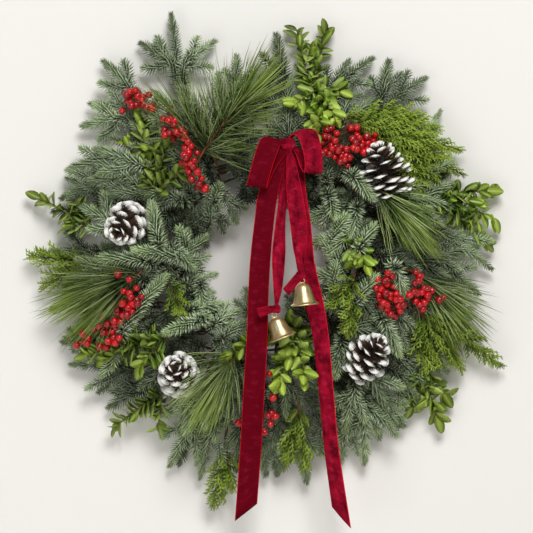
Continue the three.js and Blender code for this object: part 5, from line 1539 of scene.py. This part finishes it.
# %% Knots and cut ends over the bells
BELLS = {  # crown, mouth, knot (x, z, depth)
    "left": [(16.25, -68.5, 115), (26.25, -94.7, 115), (17.5, -58.5, 115.5)],
    "right": [(50.2, -26, 121), (53.2, -53.8, 121), (48.4, -16, 121)],
}
CUT_ENDS = {
    "left": [
        [(12, -54, 117), (20, -60, 117)], [(4, -55, 118), (10, -64, 118)],
        [(-7, -58, 117), (-3, -69, 117)]],
    "right": [
        [(44, -12, 122), (52, -19, 122)], [(37, -20, 123), (44, -28, 123)],
        [(26, -33, 122), (33, -42, 122)]],
}
bell_knots, cut_ends = {}, {}
for side, (_, _, centre) in BELLS.items():
    name = f"bell_knot_{side}"
    bell_knots[side] = settle(show(name, knot_mesh(name, centre, (6.5, 5, 6), 4, 2)), "ribbon", [])
    name = f"cut_end_{side}"
    mesh, length = strip_mesh(name, CUT_ENDS[side], 1.2, 0.5, VELVET_LIT, across=8)
    cut_ends[side] = (settle(show(name, mesh), "ribbon", []), length)

# %% [markdown]
# Someone who sews the bow needs to know how much ribbon each part takes. The length is measured
# along the middle of the strip. Where the ribbon is drawn narrow by folds or a knot, the area says
# how much of the plain rectangle is seen.

# %% Say what was cut
FLAT = RIBBON_WIDTH * MM
LEAST_SEEN = 0.3


def say_sheet(piece, length, held, rests_on):
    cloth = sum(p.area for p in piece.data.polygons) / 2
    share = min(1.0, max(LEAST_SEEN, cloth / (FLAT * length)))
    print(piece.name, round(length / MM, 1), "mm, share of a plain rectangle", round(share, 3))
    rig.sheet(piece, flat=(FLAT, round(length, 4)), held=held, rests_on=[rests_on.name],
             area=round(share * FLAT * length, 6))


for name, (piece, length) in ribbons.items():
    say_sheet(piece, length, "folded" if "loop" in name else "hung", bow_knot)
for side, (piece, length) in cut_ends.items():
    say_sheet(piece, length, "hung", bell_knots[side])

# %% [markdown]
# ## Brass bells
# The brass is old: its polish has gone dull in cloudy patches, with darker spots of tarnish.

# %% Aged brass
def brass_finish():
    f = Finish("aged_brass", 0.32, Metallic=1.0)
    tone = f.mix(f.noise(34, 4.0, 0.6), paint(198, 174, 118), paint(234, 218, 170))
    tone = f.mix(f.range(f.noise(120, 5.0, 0.7), 0.55, 0.75, 0.0, 0.5), tone, paint(110, 86, 46))
    f.colour(tone)
    f.rough(f.range(f.noise(90, 4.0), 0.3, 0.7, 0.3, 0.5))
    f.bump(f.noise(420, 3.0), 0.0002, 0.25)
    return f.material


BRASS = brass_finish()
print("finish:", BRASS.name)

# %% [markdown]
# A bell is round about its own axis, so its wall is one profile spun a full turn, inner side and
# outer side together. The bead and the groove near the lip are in the profile. Blender has a Screw
# modifier for this, but spinning the points here puts the bell straight into its tilted place.

# %% Round things
def rounded(profile, steps):
    line, _ = curve_through([Vector((r, 0, h)) for r, h in profile], steps)
    return [(max(0, p.x), p.z) for p in line]


ON_THE_AXIS = 1e-6


def lathe(body, profile, turn, segments=72):
    """Spins a profile of (radius, height) in millimetres round Z and places it with a matrix."""
    first = [body.verts.new(turn @ Vector((r * MM, 0, h * MM))) for r, h in profile]
    rows = [first]
    for k in range(1, segments):
        a = 2 * math.pi * k / segments
        spun = [Vector((r * MM * math.cos(a), r * MM * math.sin(a), h * MM)) for r, h in profile]
        rows.append([body.verts.new(turn @ spun[i]) if r > ON_THE_AXIS else first[i]
                     for i, (r, h) in enumerate(profile)])
    for k in range(segments):
        one, two = rows[k], rows[(k + 1) % segments]
        for i in range(len(profile) - 1):
            corners = list(dict.fromkeys((one[i], two[i], two[i + 1], one[i + 1])))
            if len(corners) > 2:
                body.faces.new(corners)


def ring(body, turn, radius, wire):
    """A wire ring about Z, placed with a matrix."""
    segments, sides = 40, 12
    grid = []
    for k in range(segments):
        a = 2 * math.pi * k / segments
        grid.append([])
        for s in range(sides):
            b = 2 * math.pi * s / sides
            out = radius + wire * math.cos(b)
            place = Vector((out * math.cos(a), out * math.sin(a), wire * math.sin(b)))
            grid[-1].append(body.verts.new(turn @ place))
    for k in range(segments):
        for s in range(sides):
            one, two = grid[k], grid[(k + 1) % segments]
            body.faces.new((one[s], two[s], two[(s + 1) % sides], one[(s + 1) % sides]))


def facing(way):
    """A turn that points Z a given way."""
    return way.to_track_quat("Z", "Y").to_matrix().to_4x4()


def body_object(name, body, finish):
    bmesh.ops.recalc_face_normals(body, faces=body.faces)
    mesh = bpy.data.meshes.new(name)
    body.to_mesh(mesh)
    body.free()
    return show(name, smoothed(mesh, finish))


print("three points of a profile, made round:", len(rounded([(0, 2), (1, 1), (2, 0)], 4)))

# %% [markdown]
# The bell hangs by a wire ring through its crown. Inside, the clapper hangs from an eye under the
# crown and swings on its own, so it rides a body of its own and hangs straight down at rest.

# %% Bells and clappers
BELL_HEIGHT = 28
BELL_INNER = [(0, 26.8), (4, 26.2), (7, 23), (9.2, 17.4), (11.6, 7.4), (15.9, 0)]
BELL_OUTER = [(17.5, 0), (17.6, 0.9), (17, 1.8), (16.0, 2.4), (15.2, 3.2), (14.9, 3.5), (14.6, 3.5),
              (14.0, 4.6), (12.6, 8), (11.4, 13), (10.4, 18), (8.9, 23), (6.6, 26), (3.6, 27.5),
              (0, 28)]
CROWN_RING, CROWN_WIRE = 3, 0.8
CROWN_LIFT = 2.8           # from the top of the bell up to the middle of its ring
CROWN_WALL = 1.2
EYE_RADIUS = 1.2
CLAPPER_DROP = 15          # from the eye down to the middle of the clapper's ball
CLAPPER_BALL = 2.8
CLAPPER_ROD = 0.6
for side, (crown, mouth, _) in BELLS.items():
    crown, mouth = at(*crown), at(*mouth)
    up = (crown - mouth).normalized()
    body = bmesh.new()
    stand = Matrix.Translation(crown - up * BELL_HEIGHT * MM) @ facing(up)
    lathe(body, rounded(BELL_INNER, 4) + rounded(BELL_OUTER, 3), stand)
    loop_place = Matrix.Translation(crown + up * CROWN_LIFT * MM) @ facing(FRONT)
    ring(body, loop_place, CROWN_RING * MM, CROWN_WIRE * MM)
    settle(body_object(f"bell_{side}_brass", body, BRASS), "brass", [f"bell_{side}"])

    body = bmesh.new()
    eye = crown - up * (CROWN_WALL + GAP + EYE_RADIUS) * MM
    weight = eye + Vector((0, 0, -CLAPPER_DROP * MM))
    for centre, radius in ((eye, EYE_RADIUS), (weight, CLAPPER_BALL)):
        bmesh.ops.create_uvsphere(body, u_segments=20, v_segments=12, radius=radius * MM,
                                  matrix=Matrix.Translation(centre))
    rod = [(0, -CLAPPER_DROP), (CLAPPER_ROD, -CLAPPER_DROP), (CLAPPER_ROD, 0), (0, 0)]
    lathe(body, rod, Matrix.Translation(eye), 12)
    settle(body_object(f"clapper_{side}_brass", body, BRASS), "brass", [f"clapper_{side}"],
           f"clapper_{side}")

# %% [markdown]
# ## The wire ring
# Behind the greenery two wire rails carry ten clamps, and a small ring hangs the whole wreath on a
# nail. A curve with a round bevel is the quickest way to make wire. It is turned into a mesh, so
# that it exports as a solid. The frame is enamelled green, and the other wires are bare steel.

# %% Wires
def wire_finish(name, colour, worn, roughness, metallic):
    f = Finish(name, roughness, Metallic=metallic)
    f.colour(f.mix(f.range(f.noise(160, 4.0), 0.5, 0.7), colour, worn))
    f.rough(f.range(f.noise(300), 0.3, 0.7, roughness - 0.1, roughness + 0.12))
    f.bump(f.noise(700), 0.0001, 0.3)
    return f.material


def wires(name, lines, radius, finish):
    """Round wires through points; each line says whether it closes on itself."""
    curve = bpy.data.curves.new(name, "CURVE")
    curve.dimensions = "3D"
    curve.bevel_depth = radius * MM
    curve.bevel_resolution = 3
    curve.use_fill_caps = True
    for points, closed in lines:
        spline = curve.splines.new("POLY")
        spline.points.add(len(points) - 1)
        spline.points.foreach_set("co", [c for p in points for c in (*p, 1.0)])
        spline.use_cyclic_u = closed
        spline.use_smooth = True
    made = show(name, curve)
    mesh = evaluated_mesh(made)
    bpy.data.objects.remove(made)
    mesh.name = name
    mesh.materials.clear()
    mesh.materials.append(finish)
    return show(name, mesh)


def circle(centre, axis, radius, steps=72):
    turn = axis.to_track_quat("Z", "Y")
    return [centre + turn @ Vector((radius * math.cos(a), radius * math.sin(a), 0)) * MM
            for a in (2 * math.pi * k / steps for k in range(steps))]


FRAME_WIRE = wire_finish("green_enamelled_wire", paint(38, 62, 44), paint(60, 66, 52), 0.5, 0.3)
BARE_WIRE = wire_finish("bare_steel_wire", paint(150, 150, 146), paint(112, 108, 100), 0.38, 1.0)
print("wire finishes:", FRAME_WIRE.name, BARE_WIRE.name)

# %% [markdown]
# A clamp is a bent wire under both rails. Its open tips are squeezed over the bundle of stems when
# the wreath is made, so it follows the bundle on both sides in steps of the same bend.

# %% Rails and clamps
CLAMP_WIRE = 1.4
CLAMP_TIP = 62             # degrees from the plane of the rails up to a clamp's open tip
CLAMP_BEND = 48            # degrees from one bend of a clamp to the next


def clamp_line(degrees):
    reach = (BUNDLE_RADIUS + GAP + CLAMP_WIRE) / math.cos(math.radians(CLAMP_BEND / 2))
    turns = [math.radians(CLAMP_TIP - CLAMP_BEND * bend) for bend in range(3)]
    outer = [(reach * math.cos(turn), BUNDLE_DEPTH + reach * math.sin(turn)) for turn in turns]
    outer.append(((RAIL_RADII[1] - RAIL_RADII[0]) / 2, RAIL_DEPTH))
    inner = [(-out, depth) for out, depth in reversed(outer)]
    points = [ring_point(BUNDLE_RING + out, degrees, depth) for out, depth in outer + inner]
    return curve_through(points, 4)[0]


rails = [(circle(at(0, 0, RAIL_DEPTH), FRONT, r, 120), True) for r in RAIL_RADII]
clamps = [(clamp_line(CLAMP_STEP * k), False) for k in range(CLAMPS)]
settle(wires("wire_frame_rails", rails, RAIL_WIRE, FRAME_WIRE), "frame_wire", ["wire_frame"])
settle(wires("wire_frame_clamps", clamps, CLAMP_WIRE, FRAME_WIRE), "frame_wire", [])

# %% [markdown]
# The hanging loop is a ring for the nail and a smaller ring that holds it on the outer rail. The
# bow is tied on with a wire that runs from its knot round the same rail.

# %% The hanging loop and the bow's wire
LOOP_WIRE = 1.2
LOOP_RADIUS = 9.2
WRAP = RAIL_WIRE + 2 * GAP + LOOP_WIRE       # radius of the small ring round the rail
BOW_WIRE = 1.0
BOW_TURN = 78              # degrees round the ring where the bow's wire meets it
OUTER_RAIL = RAIL_RADII[1]
loop = [(circle(at(0, OUTER_RAIL + WRAP + LOOP_RADIUS, RAIL_DEPTH), FRONT, LOOP_RADIUS), True),
        (circle(at(0, OUTER_RAIL, RAIL_DEPTH), Vector((1, 0, 0)), WRAP, 40), True)]
settle(wires("hanging_loop_wire", loop, LOOP_WIRE, BARE_WIRE), "bare_wire", ["hanging_loop"])

beside = OUTER_RAIL + RAIL_WIRE + GAP + BOW_WIRE + 0.1
behind = RAIL_DEPTH - RAIL_WIRE - GAP - BOW_WIRE
round_rail = [(beside + 1, 22), (beside, RAIL_DEPTH + 1), (beside - 0.6, behind + 0.3),
              (OUTER_RAIL - 1, behind), (OUTER_RAIL - 3.4, behind + 1.2)]
tie = [at(32, 147, 95.6), at(31, 147, 60)]
tie += [ring_point(radius, BOW_TURN, depth) for radius, depth in round_rail]
tie, _ = curve_through(tie, 5)
settle(wires("bow_wire_round", [(tie, False)], BOW_WIRE, BARE_WIRE), "bare_wire", ["bow_wire"])

# %% [markdown]
# ## The room
# The wreath hangs on a plain pale wall. Wall and floor are only seen from their front sides and
# throw no shadow, so that the back and the underside of the wreath can be looked at too, in the
# light of a lamp behind it.

# %% Wall and floor
def wall_finish(name, low, high):
    f = Finish(name, 0.9)
    f.colour(f.mix(f.noise(0.8, 2.0), low, high))
    f.bump(f.noise(60, 4.0), 0.0004, 0.15)
    passed = f.node("LightPath").outputs["Is Shadow Ray"]
    back = f.maths("MAXIMUM", f.node("NewGeometry").outputs["Backfacing"], passed)
    clear = f.node("BsdfTransparent").outputs[0]
    both = f.node("MixShader", {0: back, 1: f.shader.outputs[0], 2: clear})
    f.feed(f.tree.nodes["Material Output"].inputs["Surface"], both.outputs[0])
    return f.material


def sheet_of_room(name, corners, finish):
    mesh = bpy.data.meshes.new(name)
    mesh.from_pydata(corners, [], [(0, 1, 2, 3)])
    mesh.materials.append(finish)
    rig.stage(show(name, mesh))
    print(name, [tuple(c) for c in corners])


WALL_FACE = 0.004          # metres behind the point where the nail bears
WALL_HALF, WALL_TOP, FLOOR = 3, 2, -1.5
FLOOR_HALF, FLOOR_REACH = 6, 8
sheet_of_room("wall", [(-WALL_HALF, WALL_FACE, FLOOR), (WALL_HALF, WALL_FACE, FLOOR),
                       (WALL_HALF, WALL_FACE, WALL_TOP), (-WALL_HALF, WALL_FACE, WALL_TOP)],
              wall_finish("pale_wall", paint(234, 232, 228), paint(240, 238, 235)))
sheet_of_room("floor", [(-FLOOR_HALF, -FLOOR_REACH, FLOOR), (FLOOR_HALF, -FLOOR_REACH, FLOOR),
                        (FLOOR_HALF, FLOOR_REACH, FLOOR), (-FLOOR_HALF, FLOOR_REACH, FLOOR)],
              wall_finish("pale_floor", paint(222, 219, 214), paint(230, 227, 222)))

# %% [markdown]
# A large soft light stands in front of the wreath, high and a little to the right, and a weak one
# and the room fill the shade.

# %% Light
WREATH_MIDDLE = Vector((0, -0.05, -0.17))
LAMP_SIDE = 1.4


def soft_light(name, place, power, colour):
    lamp = bpy.data.lights.new(name, "AREA")
    lamp.shape = "RECTANGLE"
    lamp.size = lamp.size_y = LAMP_SIDE
    lamp.energy = power
    lamp.color = colour
    made = show(name, lamp)
    made.location = place
    made.rotation_euler = (WREATH_MIDDLE - Vector(place)).to_track_quat("-Z", "Y").to_euler()


soft_light("key", (0.45, -3.1, 1.9), 104, (1.0, 0.99, 0.98))
soft_light("fill", (-1.2, -2.2, -0.7), 10, (0.97, 0.985, 1.0))
soft_light("behind", (-0.6, 2.6, 0.9), 44, (1.0, 0.99, 0.98))
room = bpy.data.worlds.new("room")
bpy.context.scene.world = room
room.use_nodes = True
sky = room.node_tree.nodes["Background"].inputs
sky["Color"].default_value = (1.0, 0.995, 0.985, 1)
sky["Strength"].default_value = 0.24
print("lamps:", [light.name for light in bpy.data.lights])

# %% [markdown]
# The camera is square to the wall, a long way off, so the depth of the wreath does not swell its
# front. Its distance follows from the width that it has to see in the plane of the bow.

# %% Camera
FRAME_PIXELS, PIXEL = 533, 1.25       # the picture's width, and the millimetres that a pixel covers
BOW_PLANE = -0.08
lens = bpy.data.cameras.new("camera")
lens.lens = 300
lens.sensor_width = 36
lens.clip_end = 50
camera = show("camera", lens)
distance = FRAME_PIXELS * PIXEL * MM * lens.lens / lens.sensor_width
camera.location = (5.6 * MM, BOW_PLANE - distance, -168.3 * MM)
camera.rotation_euler = (math.radians(90), 0, 0)
bpy.context.scene.camera = camera
bpy.context.scene.view_settings.view_transform = "Standard"
print("the camera stands", round(distance, 2), "m in front of the bow")

# %% [markdown]
# The single leaves were only patterns for the trees, so they go. Then the size is written down.

# %% Finish
for pattern in (FIR_NEEDLE, PINE_NEEDLE, CEDAR_BRANCHLET, BOX_LEAF, SCALE, BERRY):
    bpy.data.objects.remove(pattern)
boxes = {"cad": [list(v) for v in cad_box], "visual": [list(v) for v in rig.bounds()]}
with open("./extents.json", "w") as out:
    json.dump(boxes, out)
print(boxes)
